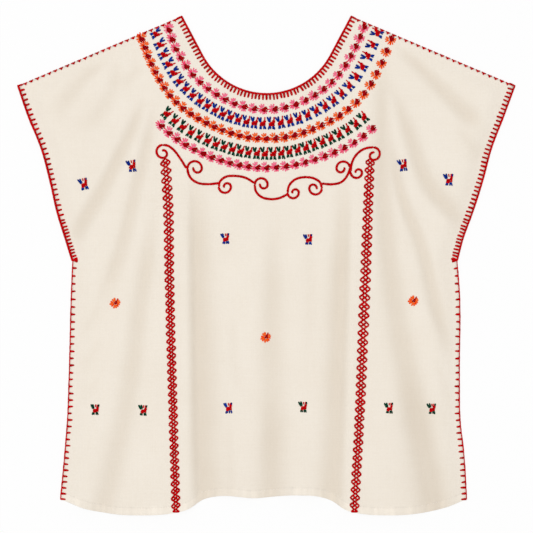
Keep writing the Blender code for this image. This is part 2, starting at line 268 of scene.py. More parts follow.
def neck_line(offset, share):
    """Points and inward directions on a line parallel to the neck, at shares of its length.

    An arc of the neck's radius plus the offset about the neck's centre, and at each end the tangent
    on to the shoulder. The share runs from -1 at the left shoulder to 1 at the right.
    """
    radius, out, up = NECK_RADIUS + offset, cos(NECK_HALF_ARC), sin(NECK_HALF_ARC)
    above = shoulder_y(radius * up) - (NECK_CENTRE_Y - radius * out)
    run, half_arc = above / (up + SHOULDER_SLOPE * out), radius * NECK_HALF_ARC
    along = share * (run + half_arc)
    angle = np.clip(along, -half_arc, half_arc) / radius
    past = np.maximum(np.abs(along) - half_arc, 0.0)
    x = radius * np.sin(angle) + np.sign(along) * past * out
    y = NECK_CENTRE_Y - radius * np.cos(angle) + past * up
    return np.stack([x, y], axis=-1), np.stack([-np.sin(angle), np.cos(angle)], axis=-1)


def neck_length(offset):
    """Length of the line parallel to the neck at an offset."""
    return run_lengths(neck_line(offset, np.linspace(-1.0, 1.0, NECK_POINTS))[0])[-1]


def fold_shape(x, y, fold):
    """1 along the fold's route, falling to each side as exp(-(distance / half-width)^2).

    The distance is to the nearest straight run of the route, and its share of the route's length
    sets how far the fold has come in or gone out there. The half-widths grow along it.
    """
    route = smooth_line(fold.route, count=ROUTE_STEPS + 1)
    nearest, side, share = np.full(x.shape, np.inf), np.zeros(x.shape), np.zeros(x.shape)
    for k, (start, end) in enumerate(zip(route[:-1], route[1:])):
        run = end - start
        dx, dy = x - start[0], y - start[1]
        t = np.clip((dx * run[0] + dy * run[1]) / (run @ run), 0.0, 1.0)
        distance = np.hypot(dx - t * run[0], dy - t * run[1])
        closer = distance < nearest
        nearest = np.where(closer, distance, nearest)
        side = np.where(closer, run[0] * dy - run[1] * dx, side)
        share = np.where(closer, (k + t) / ROUTE_STEPS, share)
    wider = FOLD_WIDTHS[0] + (FOLD_WIDTHS[1] - FOLD_WIDTHS[0]) * share
    half_width = np.where(side < 0, fold.left, fold.right) * MM * wider
    coming = smoothstep(0.0, fold.fade_in, share)
    going = 1.0 - smoothstep(1.0 - fold.fade_out, 1.0, share) if fold.fade_out else 1.0
    return np.exp(-((nearest / half_width) ** 2)) * coming * going


def ease(x, y):
    """0 along the seams, the sleeve openings and the neck, and 1 from two fingers inside them."""
    from_side = np.minimum(x - edge_x(y, 1), edge_x(y, 2) - x)
    from_neck = np.hypot(x, y - NECK_CENTRE_Y) - NECK_RADIUS
    return (
        smoothstep(0.0, EASE_WIDTH, from_side)
        * smoothstep(0.0, EASE_WIDTH, shoulder_y(x) - y)
        * smoothstep(0.0, NECK_EASE, from_neck)
    )


def swell(x, y):
    """Sum of slanted sine waves, a few tenths of a millimetre high."""
    total = np.zeros(np.shape(x))
    for s in SWELLS:
        total = total + s.height * MM * np.sin(tau * (x / s.length_x + y / s.length_y) / MM + s.phase)
    return total


def front_height(x, y):
    """Upper face of the front: its lowest lie, plus the loft less the folds and creases.

    The turned-up hem lifts the last few millimetres.
    """
    from_neck = np.hypot(x, y - NECK_CENTRE_Y)
    loft = YOKE_LOFT + (BODY_LOFT - YOKE_LOFT) * smoothstep(YOKE_REACH, BODY_REACH, from_neck)
    for fold in FOLDS + CREASES:
        loft = loft - fold.depth * MM * fold_shape(x, y, fold)
    rounded = LOFT_SOFTNESS * np.logaddexp(0.0, loft / LOFT_SOFTNESS) + swell(x, y)
    in_hem = 1.0 - smoothstep(HEM_BAND, HEM_BAND + HEM_LIFT_FADE, y - hem_y(x))
    return FRONT_LOW + rounded * ease(x, y) + HEM_LIFT * in_hem


def painted_fold_shade(x, y):
    """How deep in the folds a point lies, which sets how much painted shade it gets.

    The sum over the valleys of (depth / HOLLOW_DEPTH)^HOLLOW_POWER times the fold's shape, no more
    than HOLLOW_MOST, times the ease to the power HOLLOW_EASE.
    """
    total = np.zeros(np.shape(x))
    for fold in FOLDS + CREASES:
        total = total + max(fold.depth / HOLLOW_DEPTH, 0.0) ** HOLLOW_POWER * fold_shape(x, y, fold)
    return np.minimum(total, HOLLOW_MOST) * ease(x, y) ** HOLLOW_EASE


def seam_height(x, y):
    """The middle of the two cloths' thickness, where the thread along a side seam lies."""
    return 0.5 * (front_height(x, y) + back_height(x, y))


def back_height(x, y):
    """Underside of the back: flat, a little uneven inside, and up to meet the front at its edges."""
    inside = ease(x, y)
    return BACK_LOW + BACK_EDGE_LIFT * (1.0 - inside) + BACK_UNEVEN * (swell(x, y) + 0.5 * MM) * inside


# ---------------------------------------------------------------------------------------------
# Meshes
# ---------------------------------------------------------------------------------------------


def mesh_of(name, points, quads):
    """A mesh object of quads, from arrays of points and of point numbers."""
    mesh = bpy.data.meshes.new(name)
    mesh.vertices.add(len(points))
    mesh.vertices.foreach_set("co", np.ascontiguousarray(points, np.float32).ravel())
    mesh.loops.add(quads.size)
    mesh.loops.foreach_set("vertex_index", np.ascontiguousarray(quads, np.int32).ravel())
    mesh.polygons.add(len(quads))
    mesh.polygons.foreach_set("loop_start", np.arange(0, quads.size, 4, dtype=np.int32))
    mesh.update()
    mesh.validate()
    mesh.shade_smooth()
    obj = bpy.data.objects.new(name, mesh)
    bpy.context.scene.collection.objects.link(obj)
    return obj


def store(obj, name, values):
    """Keeps one number a point on the mesh, for its material to read."""
    attribute = obj.data.attributes.new(name, "FLOAT", "POINT")
    attribute.data.foreach_set("value", np.ascontiguousarray(values, np.float32).ravel())


def stepped(knots, cells):
    """Numbers that run from each knot to the next in so many even cells."""
    runs = [np.linspace(a, b, n + 1)[:-1] for a, b, n in zip(knots[:-1], knots[1:], cells)]
    return np.append(np.concatenate(runs), knots[-1])


def cut_grid():
    """Rows of (x, y) points over the cut.

    A Coons patch: the blend of the top edge into the hem, plus the blend of the left edge into the
    right, less the blend of the four corners.
    """
    neck, _ = neck_line(0.0, np.linspace(-1.0, 1.0, NECK_CELLS + 1))
    share = np.linspace(0.0, 1.0, SLEEVE_CELLS + 1)[:-1, None]
    left, right = (
        np.array([x * MM, SLEEVE_TIP_Y]) * (1.0 - share) + neck_end * share
        for x, neck_end in ((SLEEVE_EDGE[0].left_x, neck[0]), (SLEEVE_EDGE[0].right_x, neck[-1]))
    )
    top = np.concatenate([left, neck, right[::-1]])
    hem_knots = HEM_LINE[0].x * MM, -HEM_NECK_HALF, HEM_NECK_HALF, HEM_LINE[-1].x * MM
    hem_x = stepped(hem_knots, (SLEEVE_CELLS, NECK_CELLS, SLEEVE_CELLS))
    hem = np.stack([hem_x, hem_y(hem_x)], axis=-1)
    u = ((hem_x - hem_x[0]) / (hem_x[-1] - hem_x[0]))[None, :, None]
    underarm = (SLEEVE_TIP_Y - UNDERARM_Y) / (SLEEVE_TIP_Y - CORNER_Y)
    v = stepped((0.0, underarm, 1.0), (SLEEVE_ROWS, SIDE_ROWS))[:, None, None]
    y = SLEEVE_TIP_Y * (1.0 - v) + CORNER_Y * v
    sides = [np.concatenate([edge_x(y, k), y], axis=-1) for k in (1, 2)]
    corners = (1 - u) * ((1 - v) * top[0] + v * hem[0]) + u * ((1 - v) * top[-1] + v * hem[-1])
    return (1 - v) * top[None] + v * hem[None] + (1 - u) * sides[0] + u * sides[1] - corners


def with_turned_hem(points, inside):
    """The grid's points with the hem's rows added: round a half circle, then back up inside.

    inside is -1 where the hem turns under the cloth, and 1 where it turns over it.
    """
    last = points[-1]
    up = last - points[-1 - SLOPE_ROWS]
    up /= np.linalg.norm(up[:, :2], axis=1)[:, None]
    rows = []
    for a in np.radians(HEM_TURN):
        out = np.array([0.0, -0.5 * HEM_FOLD * sin(a), inside * 0.5 * HEM_FOLD * (1.0 - cos(a))])
        rows.append(last + out)
    cell = np.abs(points[-2, :, 1] - points[-1, :, 1]).mean()
    for reach in np.array(HEM_ROWS) * MM:
        back = last - up * np.array([1.0, 1.0, 0.0]) * reach
        back[:, 2] = points[-1 - int(round(reach / cell)), :, 2] + inside * HEM_FOLD
        rows.append(back)
    return np.concatenate([points, np.stack(rows)])


def cloth_shell(name, height, inside, faces_up):
    """A thin shell of cloth: the cut's grid at a height, its hem turned, and a wall given to it."""
    grid = cut_grid()
    points = with_turned_hem(np.dstack([grid, height(grid[..., 0], grid[..., 1])]), inside)
    number = np.arange(points[..., 0].size).reshape(points.shape[:2])
    quads = np.stack([number[:-1, :-1], number[1:, :-1], number[1:, 1:], number[:-1, 1:]], axis=-1)
    quads = quads.reshape(-1, 4)
    obj = mesh_of(name, points.reshape(-1, 3), quads if faces_up else quads[:, ::-1])
    x, y = points[..., 0], points[..., 1]
    store(obj, "from_hem", y - hem_y(x))
    # Painted shade on the front's face, as much as the point lies deep in the folds
    store(obj, "painted_fold_shade", painted_fold_shade(x, y) if faces_up else np.zeros(x.shape))
    wall = obj.modifiers.new("Cloth wall", "SOLIDIFY")
    wall.thickness = CLOTH_WALL
    wall.offset = -1.0
    return obj


# A strand is a short thread: its sections' places along it, and the sides round it
SECTIONS = np.array([0.0, 0.06, 0.3, 0.7, 0.94, 1.0])
SIDES = 6
FLATNESS = 0.38  # a laid thread's height over its width
END_SHARE = 0.985  # how near a strand's ends come to a point


def strands_mesh(name, centres, across, widths, tones):
    """One mesh of many strands.

    A ring of points is carried along each strand's centres. across is the level direction at right
    angles to the strand, and the ring's other axis is the run's direction turned round it. The ring
    narrows at the ends as the square root of 1 - (END_SHARE s)^8, with s from -1 to 1 along it.
    """
    n, sections = centres.shape[:2]
    run = np.gradient(centres, axis=1)
    run /= np.maximum(np.linalg.norm(run, axis=-1, keepdims=True), 1e-9)
    across = np.broadcast_to(across, centres.shape)
    radius = (0.5 * widths)[:, None] * (1.0 - (END_SHARE * (2.0 * SECTIONS - 1.0)) ** 8) ** 0.5
    turn = (np.arange(SIDES) * tau / SIDES)[:, None]
    ring = across[:, :, None] * np.cos(turn) + np.cross(run, across)[:, :, None] * (FLATNESS * np.sin(turn))
    points = centres[:, :, None] + ring * radius[:, :, None, None]

    number = np.arange(sections * SIDES).reshape(sections, SIDES)
    after = np.roll(number, -1, axis=1)
    walls = np.stack([number[:-1], after[:-1], after[1:], number[1:]], axis=-1).reshape(-1, 4)
    last = number[-1]
    caps = np.array([[3, 2, 1, 0], [5, 4, 3, 0], last[[0, 1, 2, 3]], last[[0, 3, 4, 5]]])
    faces = np.concatenate([walls, caps])
    quads = (faces[None] + (np.arange(n) * sections * SIDES)[:, None, None]).reshape(-1, 4)
    obj = mesh_of(name, points.reshape(-1, 3), quads)

    step = np.linalg.norm(np.diff(centres, axis=1), axis=-1)
    along = np.pad(np.cumsum(step, axis=1), ((0, 0), (1, 0)))
    k = np.arange(SIDES) / SIDES
    v = np.stack([k, k + 1 / SIDES, k + 1 / SIDES, k], axis=-1)
    u = np.stack([along[:, :-1], along[:, :-1], along[:, 1:], along[:, 1:]], axis=-1)[:, :, None]
    wall_uv = np.stack(np.broadcast_arrays(u, v), axis=-1).reshape(n, -1, 2)
    uv = np.pad(wall_uv, ((0, 0), (0, caps.size), (0, 0)))
    layer = obj.data.uv_layers.new(name="thread")
    layer.data.foreach_set("uv", np.ascontiguousarray(uv, np.float32).ravel())
    store(obj, "tone", np.repeat(tones, sections * SIDES))
    return obj


def laid_strands(name, strands, height, side=1.0):
    """Strands laid on the cloth: each runs from one point to another and sinks in at its ends.

    A row of strands is x0, y0, x1, y1, width, bow, tone. The bow curves it sideways as a parabola.
    Its height over the cloth is width * (0.24 (1 - s^6) - 0.06). side is -1 under the cloth.
    """
    start, end, width, bow, tone = np.split(strands, [2, 4, 5, 6], axis=1)
    run = end - start
    across = np.stack([-run[:, 1], run[:, 0]], axis=-1)
    across /= np.linalg.norm(across, axis=1)[:, None]
    t = SECTIONS[:, None]
    flat = start[:, None] + run[:, None] * t + across[:, None] * (4 * t * (1 - t)) * bow[:, None]
    lift = width * (0.24 * (1.0 - (2.0 * SECTIONS - 1.0) ** 6) - 0.06)
    z = height(flat[..., 0], flat[..., 1]) + side * lift
    level = np.pad(across, ((0, 0), (0, 1)))[:, None]
    return strands_mesh(name, np.dstack([flat, z]), level, width[:, 0], tone[:, 0])


# ---------------------------------------------------------------------------------------------
# Materials
# ---------------------------------------------------------------------------------------------


SLUBS = (640.0, 26.0, 1.0), (22.0, 560.0, 1.0)  # thick places along the warp, and along the weft
MOTTLE_SCALE, FLECK_SCALE = 17.0, 420.0
HEM_CREASE = 0.7 * MM  # half the width of the line that the hem's stitches press in
PUCKER_REACH = 3.0 * MM
# How much of the deep tone each unevenness brings, and what is taken off again
SLUB_TONE, MOTTLE_TONE, FLECK_TONE = (0.5, -0.2), (0.8, -0.4), (0.7, -0.35)
# Along the hem: how much lighter its band is, the painted shade on the line its stitches press in, and the
# painted light and shade on its puckers
HEM_LIGHTER, CREASE_PAINTED_SHADE, PUCKER_LIGHT_AND_SHADE = 0.030, -0.012, 0.10
WEAVE_RELIEF, SLUB_RELIEF, PUCKER_RELIEF = 0.10 * MM, 0.16 * MM, 0.35 * MM
PLY_TURN, PLY_RELIEF = 1.7 * MM, 0.12 * MM  # length of one turn of a thread's ply, and its height
# Painted light and shade on the ply: its crest painted lighter and its groove darker
PLY_PAINTED_SHADE = 0.24, 0.82  # how much lighter a ply's crest is than its groove, and the groove's tone


def node(tree, kind, inputs=None, **settings):
    """Adds a node, with its settings, and its inputs as values or as other nodes' outputs."""
    made = tree.nodes.new(kind)
    for key, value in settings.items():
        setattr(made, key, value)
    for key, value in (inputs or {}).items():
        if isinstance(value, bpy.types.NodeSocket):
            tree.links.new(value, made.inputs[key])
        else:
            made.inputs[key].default_value = value
    return made


def math(tree, operation, *values, clamp=False):
    """The output of a math node."""
    inputs = dict(enumerate(values))
    return node(tree, "ShaderNodeMath", inputs, operation=operation, use_clamp=clamp).outputs[0]


def mixed(tree, factor, a, b, blend="MIX"):
    """The output of a colour mix of a and b."""
    inputs = {0: factor, 6: a, 7: b}
    return node(tree, "ShaderNodeMix", inputs, data_type="RGBA", blend_type=blend).outputs[2]


def noise(tree, place, scale, detail, stretch=None):
    """The output of a noise, with its lumps drawn out where a stretch is given."""
    if stretch:
        place = node(tree, "ShaderNodeMapping", {0: place, "Scale": stretch}).outputs[0]
    return node(tree, "ShaderNodeTexNoise", {"Vector": place, "Scale": scale, "Detail": detail}).outputs[0]


def kept(tree, name):
    """The output of a number that the mesh keeps at its points."""
    return node(tree, "ShaderNodeAttribute", attribute_name=name).outputs["Fac"]


def finish(tree, shader, colour, brightness, relief, strength):
    """Gives a shader its colour, dimmed or lit by a brightness, and a bump from a relief in metres."""
    grey = node(tree, "ShaderNodeCombineColor", {0: brightness, 1: brightness, 2: brightness}).outputs[0]
    tree.links.new(mixed(tree, 1.0, colour, grey, "MULTIPLY"), shader.inputs["Base Color"])
    bump = node(tree, "ShaderNodeBump", {"Height": relief, "Distance": 1.0, "Strength": strength})
    tree.links.new(bump.outputs[0], shader.inputs["Normal"])


def material(name, roughness, sheen):
    """A material with its Principled shader ready for a colour and a bump."""
    made = bpy.data.materials.get(name)
    if made:
        bpy.data.materials.remove(made)
    made = bpy.data.materials.new(name)
    made.use_nodes = True
    shader = made.node_tree.nodes["Principled BSDF"]
    shader.inputs["Roughness"].default_value = roughness
    shader.inputs["Sheen Weight"].default_value = sheen
    shader.inputs["Sheen Roughness"].default_value = 0.5
    shader.inputs["Specular IOR Level"].default_value = 0.25
    return made, made.node_tree, shader


def cotton_material(look):
    """Unbleached plain weave: crossed threads, slubs along both ways, and a faint mottling.

    Painted shade dims the cloth deep in its folds. Along its hem it is a little lighter and puckered, with
    painted shade on the line its stitches press in and painted light and shade on the puckers.
    """
    made, tree, shader = material("unbleached_cotton", 0.9, 0.08)
    do = partial(math, tree)
    place = node(tree, "ShaderNodeTexCoord").outputs["Object"]
    split = node(tree, "ShaderNodeSeparateXYZ", {0: place})
    warp, weft = (do("SINE", do("MULTIPLY", split.outputs[k], pi / look.thread_pitch)) for k in (0, 1))
    weave = do("POWER", do("ABSOLUTE", do("MULTIPLY", warp, weft)), 0.5)
    slub = do("ADD", *(noise(tree, place, 1.0, 2.0, stretch) for stretch in SLUBS))
    amount = do("MULTIPLY_ADD", slub, *SLUB_TONE)
    mottle, fleck = noise(tree, place, MOTTLE_SCALE, 4.0), noise(tree, place, FLECK_SCALE, 2.0)
    amount = do("ADD", amount, do("MULTIPLY_ADD", mottle, *MOTTLE_TONE))
    amount = do("ADD", amount, do("MULTIPLY_ADD", fleck, *FLECK_TONE), clamp=True)
    cloth = mixed(tree, amount, (*look.colour, 1.0), (*look.shade_colour, 1.0))
    # Painted shade deep in the folds: the cloth times the warm shade colour, mixed in by how deep the point
    # lies in the folds
    dimmed = mixed(tree, 1.0, cloth, (*look.painted_shade_colour, 1.0), "MULTIPLY")
    folded = mixed(tree, kept(tree, "painted_fold_shade"), cloth, dimmed)

    from_hem = kept(tree, "from_hem")
    in_band = do("LESS_THAN", from_hem, look.hem_width)
    off_line = do("SUBTRACT", from_hem, look.hem_width + HEM_CREASE)
    near_line = do("LESS_THAN", do("ABSOLUTE", off_line), HEM_CREASE)
    near_band = do("MULTIPLY_ADD", off_line, -1.0 / PUCKER_REACH, 1.0, clamp=True)
    pucker = noise(tree, place, 1.0, 1.0, (0.55 / look.pucker_pitch, 14.0, 1.0))
    pucker = do("MULTIPLY", near_band, do("MULTIPLY_ADD", pucker, 2.0, -1.0))
    # The hem's band a little lighter, painted shade on the line its stitches press in, and painted light and
    # shade on its puckers
    bright = do("MULTIPLY_ADD", in_band, HEM_LIGHTER, 1.0)
    bright = do("ADD", bright, do("MULTIPLY", near_line, CREASE_PAINTED_SHADE))
    bright = do("ADD", bright, do("MULTIPLY", pucker, PUCKER_LIGHT_AND_SHADE))
    relief = do("MULTIPLY_ADD", weave, WEAVE_RELIEF, do("MULTIPLY", slub, SLUB_RELIEF))
    relief = do("ADD", relief, do("MULTIPLY", pucker, PUCKER_RELIEF))
    finish(tree, shader, folded, bright, relief, 0.8)
    return made


def thread_material(name, colour, deep, roughness=0.6):
    """Mercerised thread: two tones mixed strand by strand, a twisted ply in its relief, and painted shade in
    the ply's grooves with painted light on its crests.
    """
    made, tree, shader = material(name, roughness, 0.0)
    shader.inputs["Specular IOR Level"].default_value = 0.02
    do = partial(math, tree)
    coat = node(tree, "ShaderNodeUVMap", uv_map="thread").outputs[0]
    split = node(tree, "ShaderNodeSeparateXYZ", {0: coat})
    round_it = do("MULTIPLY", split.outputs[1], 2 * tau)
    ply = do("SINE", do("MULTIPLY_ADD", split.outputs[0], tau / PLY_TURN, round_it))
    ply = do("MULTIPLY_ADD", ply, 0.5, 0.5)
    base = mixed(tree, kept(tree, "tone"), (*deep, 1.0), (*colour, 1.0))
    # Painted shade in the ply's grooves and painted light on its crests
    groove = do("MULTIPLY_ADD", ply, *PLY_PAINTED_SHADE)
    finish(tree, shader, base, groove, do("MULTIPLY", ply, PLY_RELIEF), 0.7)
    return made


def dressed(obj, look, slot, *nodes):
    """Gives a finished piece its material and its place on the frame. The slot is not used."""
    obj.data.materials.append(look)
    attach(obj, "root")
    if nodes:
        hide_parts(*nodes)
    return obj


# ---------------------------------------------------------------------------------------------
# Embroidery: motifs as strokes of thread, and where they stand
# ---------------------------------------------------------------------------------------------

# A motif is each of its threads with its strokes. A stroke's columns are x0, y0, x1, y1, width, tone
# A small animal: its tail a V of coloured stitches, its body and head red, and its legs coloured
YOKE_FIGURE = {
    "coloured": (
        (-5.5, 8.2, -2.9, 1.4, 2.7, 0.6),
        (-1.0, 8.4, -2.3, 0.8, 2.7, 0.3),
        (-3.1, 5.0, -2.6, 1.0, 2.0, 0.0),
        (-2.3, -3.6, -3.6, -8.8, 2.3, 0.5),
        (-1.6, -3.8, -0.9, -8.4, 2.1, 0.7),
        (2.2, -3.8, 2.0, -8.4, 2.1, 0.3),
        (3.1, -3.6, 4.7, -8.8, 2.3, 0.6),
    ),
    "red": (
        (3.9, 8.4, 3.5, 3.2, 1.9, 0.9),
        (1.2, 3.0, 5.5, 2.4, 2.5, 0.6),
        (-1.9, 0.9, 5.0, 0.7, 2.6, 1.0),
        (-3.8, -1.1, 0.6, -1.0, 2.6, 0.8),
        (-3.8, -3.0, 3.6, -2.9, 2.5, 0.4),
    ),
    "heart": (
        (-0.2, -0.9, 4.6, -1.0, 2.4, 0.4),
        (1.8, -2.3, 4.6, -2.9, 1.9, 0.8),
    ),
}
# The same animal standing alone
LONE_FIGURE = {
    "coloured": (
        (-6.2, 6.8, -2.6, 0.6, 2.5, 0.6),
        (-3.2, 7.2, -1.2, 1.2, 2.4, 0.3),
        (-4.7, 5.4, -2.0, 0.8, 2.0, 0.1),
        (5.0, 7.3, 4.4, 3.8, 2.2, 0.0),
        (-1.7, -3.6, -2.7, -7.4, 2.5, 0.5),
        (-0.7, -3.8, -0.6, -7.3, 2.0, 0.3),
        (2.3, -3.2, 2.3, -7.4, 2.2, 0.3),
        (3.6, -3.2, 5.0, -7.5, 2.3, 0.6),
    ),
    "red": (
        (0.4, 7.2, 0.7, 3.2, 1.8, 0.9),
        (3.0, 7.2, 3.0, 4.0, 1.8, 1.0),
        (2.0, 3.2, 5.6, 3.0, 2.5, 0.8),
        (1.6, 1.5, 5.2, 1.2, 2.5, 0.3),
        (3.7, 3.4, 4.1, -3.2, 2.4, 0.5),
        (-2.5, -0.1, 3.6, 0.0, 2.4, 0.8),
        (-2.9, -1.9, 3.8, -1.9, 2.4, 0.4),
        (-2.7, -3.4, 1.2, -3.4, 2.2, 0.9),
    ),
}
# A flower seen from above: the heart to the right, petals above, to the left and below, and a
# stitch that joins it to the next
YOKE_FLOWER = {
    "coloured": (
        (-7.5, 5.2, -3.0, 1.4, 2.1, 0.8),
        (-4.7, 7.4, -2.6, 2.2, 2.1, 1.0),
        (-1.2, 7.4, -1.6, 2.6, 2.1, 0.9),
        (-9.0, 0.8, -3.6, -0.1, 1.9, 0.3),
        (-8.8, -3.0, -3.6, -1.2, 2.3, 0.1),
        (-6.2, -5.7, -2.8, -2.2, 1.9, 0.6),
        (-2.2, -7.2, -1.2, -3.2, 2.1, 0.9),
        (0.5, -6.9, 0.3, -3.2, 1.7, 0.5),
        (3.2, -6.4, 1.0, -3.0, 2.0, 0.8),
    ),
    "red": (
        (3.2, 0.2, 5.9, -0.2, 1.8, 1.0),
    ),
    "heart": (
        (-1.8, -3.2, 2.4, -3.4, 2.2, 0.6),
        (-3.9, -1.9, 4.6, -2.2, 2.3, 0.1),
        (-4.2, -0.5, 3.2, -0.1, 2.3, 0.8),
        (-2.8, 0.6, 4.4, 1.8, 2.3, 0.3),
        (-0.4, 1.8, 3.0, 3.5, 2.1, 0.9),
    ),
}
LONE_FLOWER = {
    "coloured": (
        (-5.9, 5.2, -1.9, 1.4, 2.6, 0.8),
        (-2.3, 7.2, -1.5, 1.6, 2.9, 0.9),
        (-8.4, 1.6, -3.2, -0.9, 2.5, 0.3),
        (-9.6, -2.4, -3.2, -1.4, 2.6, 0.5),
        (-7.2, -5.8, -2.8, -1.9, 2.5, 0.2),
        (-3.4, -8.8, -1.0, -3.0, 2.5, 0.7),
        (0.9, -8.4, -0.5, -3.0, 2.4, 0.5),
        (3.8, -6.4, 0.9, -2.4, 2.4, 0.1),
        (6.8, 0.5, 2.0, -0.2, 2.5, 0.9),
        (5.4, 3.6, 2.2, 0.4, 2.4, 0.8),
        (5.6, -3.2, 2.0, -0.9, 2.4, 0.4),
    ),
    "red": (
        (3.3, 6.2, 0.8, 1.0, 2.1, 0.8),
    ),
    "heart": (
        (-3.2, -1.5, 2.2, -1.3, 2.0, 0.4),
        (-2.5, -0.1, 2.6, 0.1, 2.1, 0.8),
        (-1.2, 1.3, 1.8, 1.6, 2.0, 0.3),
    ),
}

YokeRow = namedtuple("YokeRow", "name offset motif thread middle left right")
Half = namedtuple("Half", "count reach spread bulge")
# The yoke's rows: how far each runs outside the neck, where its middle motif stands, and in each
# half how many more there are, how far they reach, how their steps grow, and how far it stands out
YOKE_ROWS = (
    YokeRow("row_1", 19.8, "flower", "pink", -2.9, Half(13, 181.0, 0.00, 6.3), Half(13, 190.5, 0.00, 3.5)),
    YokeRow("row_2", 39.0, "figure", "blue", -5.9, Half(16, 203.0, 0.12, 5.5), Half(15, 215.0, 0.13, 4.5)),
    YokeRow("row_3", 59.8, "flower", "orange", -0.3, Half(19, 233.5, 0.00, 6.0), Half(16, 234.5, 0.12, 6.0)),
    YokeRow("row_4", 80.6, "figure", "green", -2.7, Half(12, 147.8, 0.09, 4.5), Half(12, 146.3, 0.08, 6.0)),
    YokeRow("row_5", 99.8, "flower", "pink", 0.6, Half(12, 159.0, 0.04, 2.4), Half(11, 156.8, 0.07, 6.0)),
)
NECK_SPREAD = 0.068  # how much the steps between the neck's stitches grow to its ends
BULGE_FROM = 60 * MM, 160 * MM  # how far from its middle a row starts to stand out, and is out
BULGE_TO, BULGE_LOSS = (0.8, 1.0), 0.8  # the share of the way to the shoulder where it goes back in
Lone = namedtuple("Lone", "motif thread x y turn size")
LONE_MOTIFS = (
    Lone("figure", "blue", -252, 112, 12, 1.12),
    Lone("figure", "blue", -186, 137, 6, 1.12),
    Lone("figure", "blue", -57, 37, 0, 1.0),
    Lone("figure", "blue", 57, 36, 0, 1.0),
    Lone("figure", "blue", 187, 138, 6, 1.12),
    Lone("figure", "blue", 250, 118, -2, 1.12),
    Lone("figure", "blue", -53, -196, 0, 1.0),
    Lone("figure", "green", -236, -198, -4, 1.0),
    Lone("figure", "green", -170, -199, -4, 1.0),
    Lone("figure", "green", 50, -194.5, -3, 1.0),
    Lone("figure", "green", 168, -196, -2, 1.0),
    Lone("figure", "green", 227, -197, -2, 1.0),
    Lone("flower", "orange", -207, -51, 0, 0.9),
    Lone("flower", "orange", 0, -98, 6, 0.9),
    Lone("flower", "orange", 203, -48, -5, 0.9),
)
# The scroll's vine: smooth stretches, each from a curl or from the stretch before
VINE = (
    ((-143.0, 166.0), (-136.5, 165.2), (-129, 160.2), (-119.5, 148.4), (-110.3, 133.8)),
    ((-108.8, 133.8), (-107.6, 126.3), (-102.3, 118.3), (-93.3, 113.3), (-80, 112), (-66, 113.3)),
    ((-65.7, 108.3), (-64.5, 114.8), (-57.3, 121.6), (-43.3, 123.3), (-28.3, 120.5), (-16.3, 113.3)),
    ((-16.2, 111.3), (-14.7, 102.3), (-7.8, 94.8), (4.7, 91.3), (17.7, 92.7), (29, 98.1)),
    ((28.9, 100.3), (31, 109.8), (39.2, 118.3), (52.7, 121.6), (66.7, 119.3), (73.8, 114.3), (76.2, 106.3)),
    ((75.7, 112.8), (90.7, 111.8), (102.7, 114.6), (110.7, 122.8), (115.1, 133.8)),
    ((115.9, 129.8), (117, 139.3), (121.7, 149.8), (130.2, 158.3), (138.7, 161.9), (147.5, 162.9)),
)
Curl = namedtuple("Curl", "x y radius start hand")
# The scroll's curls: where each one's wider arc is centred and starts, and which way it goes round
CURLS = (
    Curl(-142.5, 157.0, 9.0, 93, 1),
    Curl(-98.9, 133.8, 9.9, 180, -1),
    Curl(-57.3, 108.3, 8.4, 180, 1),
    Curl(-7.3, 111.3, 8.9, 180, -1),
    Curl(36.7, 100.3, 7.8, 180, 1),
    Curl(67.5, 106.3, 8.7, 0, -1),
    Curl(105.7, 133.8, 9.4, 0, 1),
    Curl(123.7, 128.3, 7.9, 170, 1),
    Curl(147.4, 154.1, 8.8, 90, -1),
)
CURL_TIGHTER = 0.6  # radius of a curl's inner arc over its outer arc's
CURL_END = radians(195.0)
Strip = namedtuple("Strip", "y left_x right_x left_pitch right_pitch")
# The diamond strips' centre lines, and how far apart their diamonds are there
STRIPS = (
    Strip(146.8, -139.6, 142.8, 12.1, 11.2),
    Strip(90.0, -135.6, 140.0, 11.8, 11.2),
    Strip(-20.0, -133.4, 135.9, 10.6, 12.3),
    Strip(-100.0, -131.4, 132.5, 10.4, 12.2),
    Strip(-220.0, -127.8, 127.3, 10.2, 11.0),
    Strip(-335.2, -124.4, 120.7, 10.1, 10.8),
)
STRIP_SLANTS = (0.19, -0.05)  # rise of a diamond's right point over its left, over its width
DIAMOND_PITCH = 11.0 * MM
DIAMOND_WIDTH = 13.1 * MM
DIAMOND_STRAND = 2.6 * MM
DIAMOND_HALF = 0.52  # from a diamond's middle to its points, over its size, so that points just lap
DIAMOND_FEET = ((-0.5, -4.6), (0.5, 4.8), (-4.6, 4.8))  # x in mm where each of the last strands starts, ends
FOOT_RISE = 0.8 * MM  # how far over the hem's edge the feet stand
SLEEVE_CLOSE_Y = 62.0 * MM
UNDERARM_TACK = (-24.0, -6.0, 12.0, 30.0)  # the tack's stitches, in degrees from level
TACK_REACH, TACK_WIDTH = 6.6 * MM, 2.6 * MM
# Widths of the blanket stitches' ticks and of the purls that join them
NECK_TICK, NECK_PURL = 2.9 * MM, 3.0 * MM
SLEEVE_TICK, SLEEVE_PURL = 2.8 * MM, 2.9 * MM
SLEEVE_SIZES = {"left": 0.92, "right": 1.12}  # the right sleeve's stitches are longer and wider apart
SIDE_TICK, SIDE_THREAD = 3.1 * MM, 2.3 * MM
SHOULDER_FAN = np.array([-2.7, 0.0, 2.7]) * MM  # where a shoulder triangle's three stitches go in
SHOULDER_REACH = (2.6, 3.3, 2.6)  # and how far in, in mm
SHOULDER_THREAD = 2.5 * MM
HEM_THREAD = 0.7 * MM
SCROLL_STEP = 2.1 * MM
SIDES_OF_CUT = ((1, "left", 1.0), (2, "right", -1.0))  # column in the edge's tables, name, way inward
SEED = 11
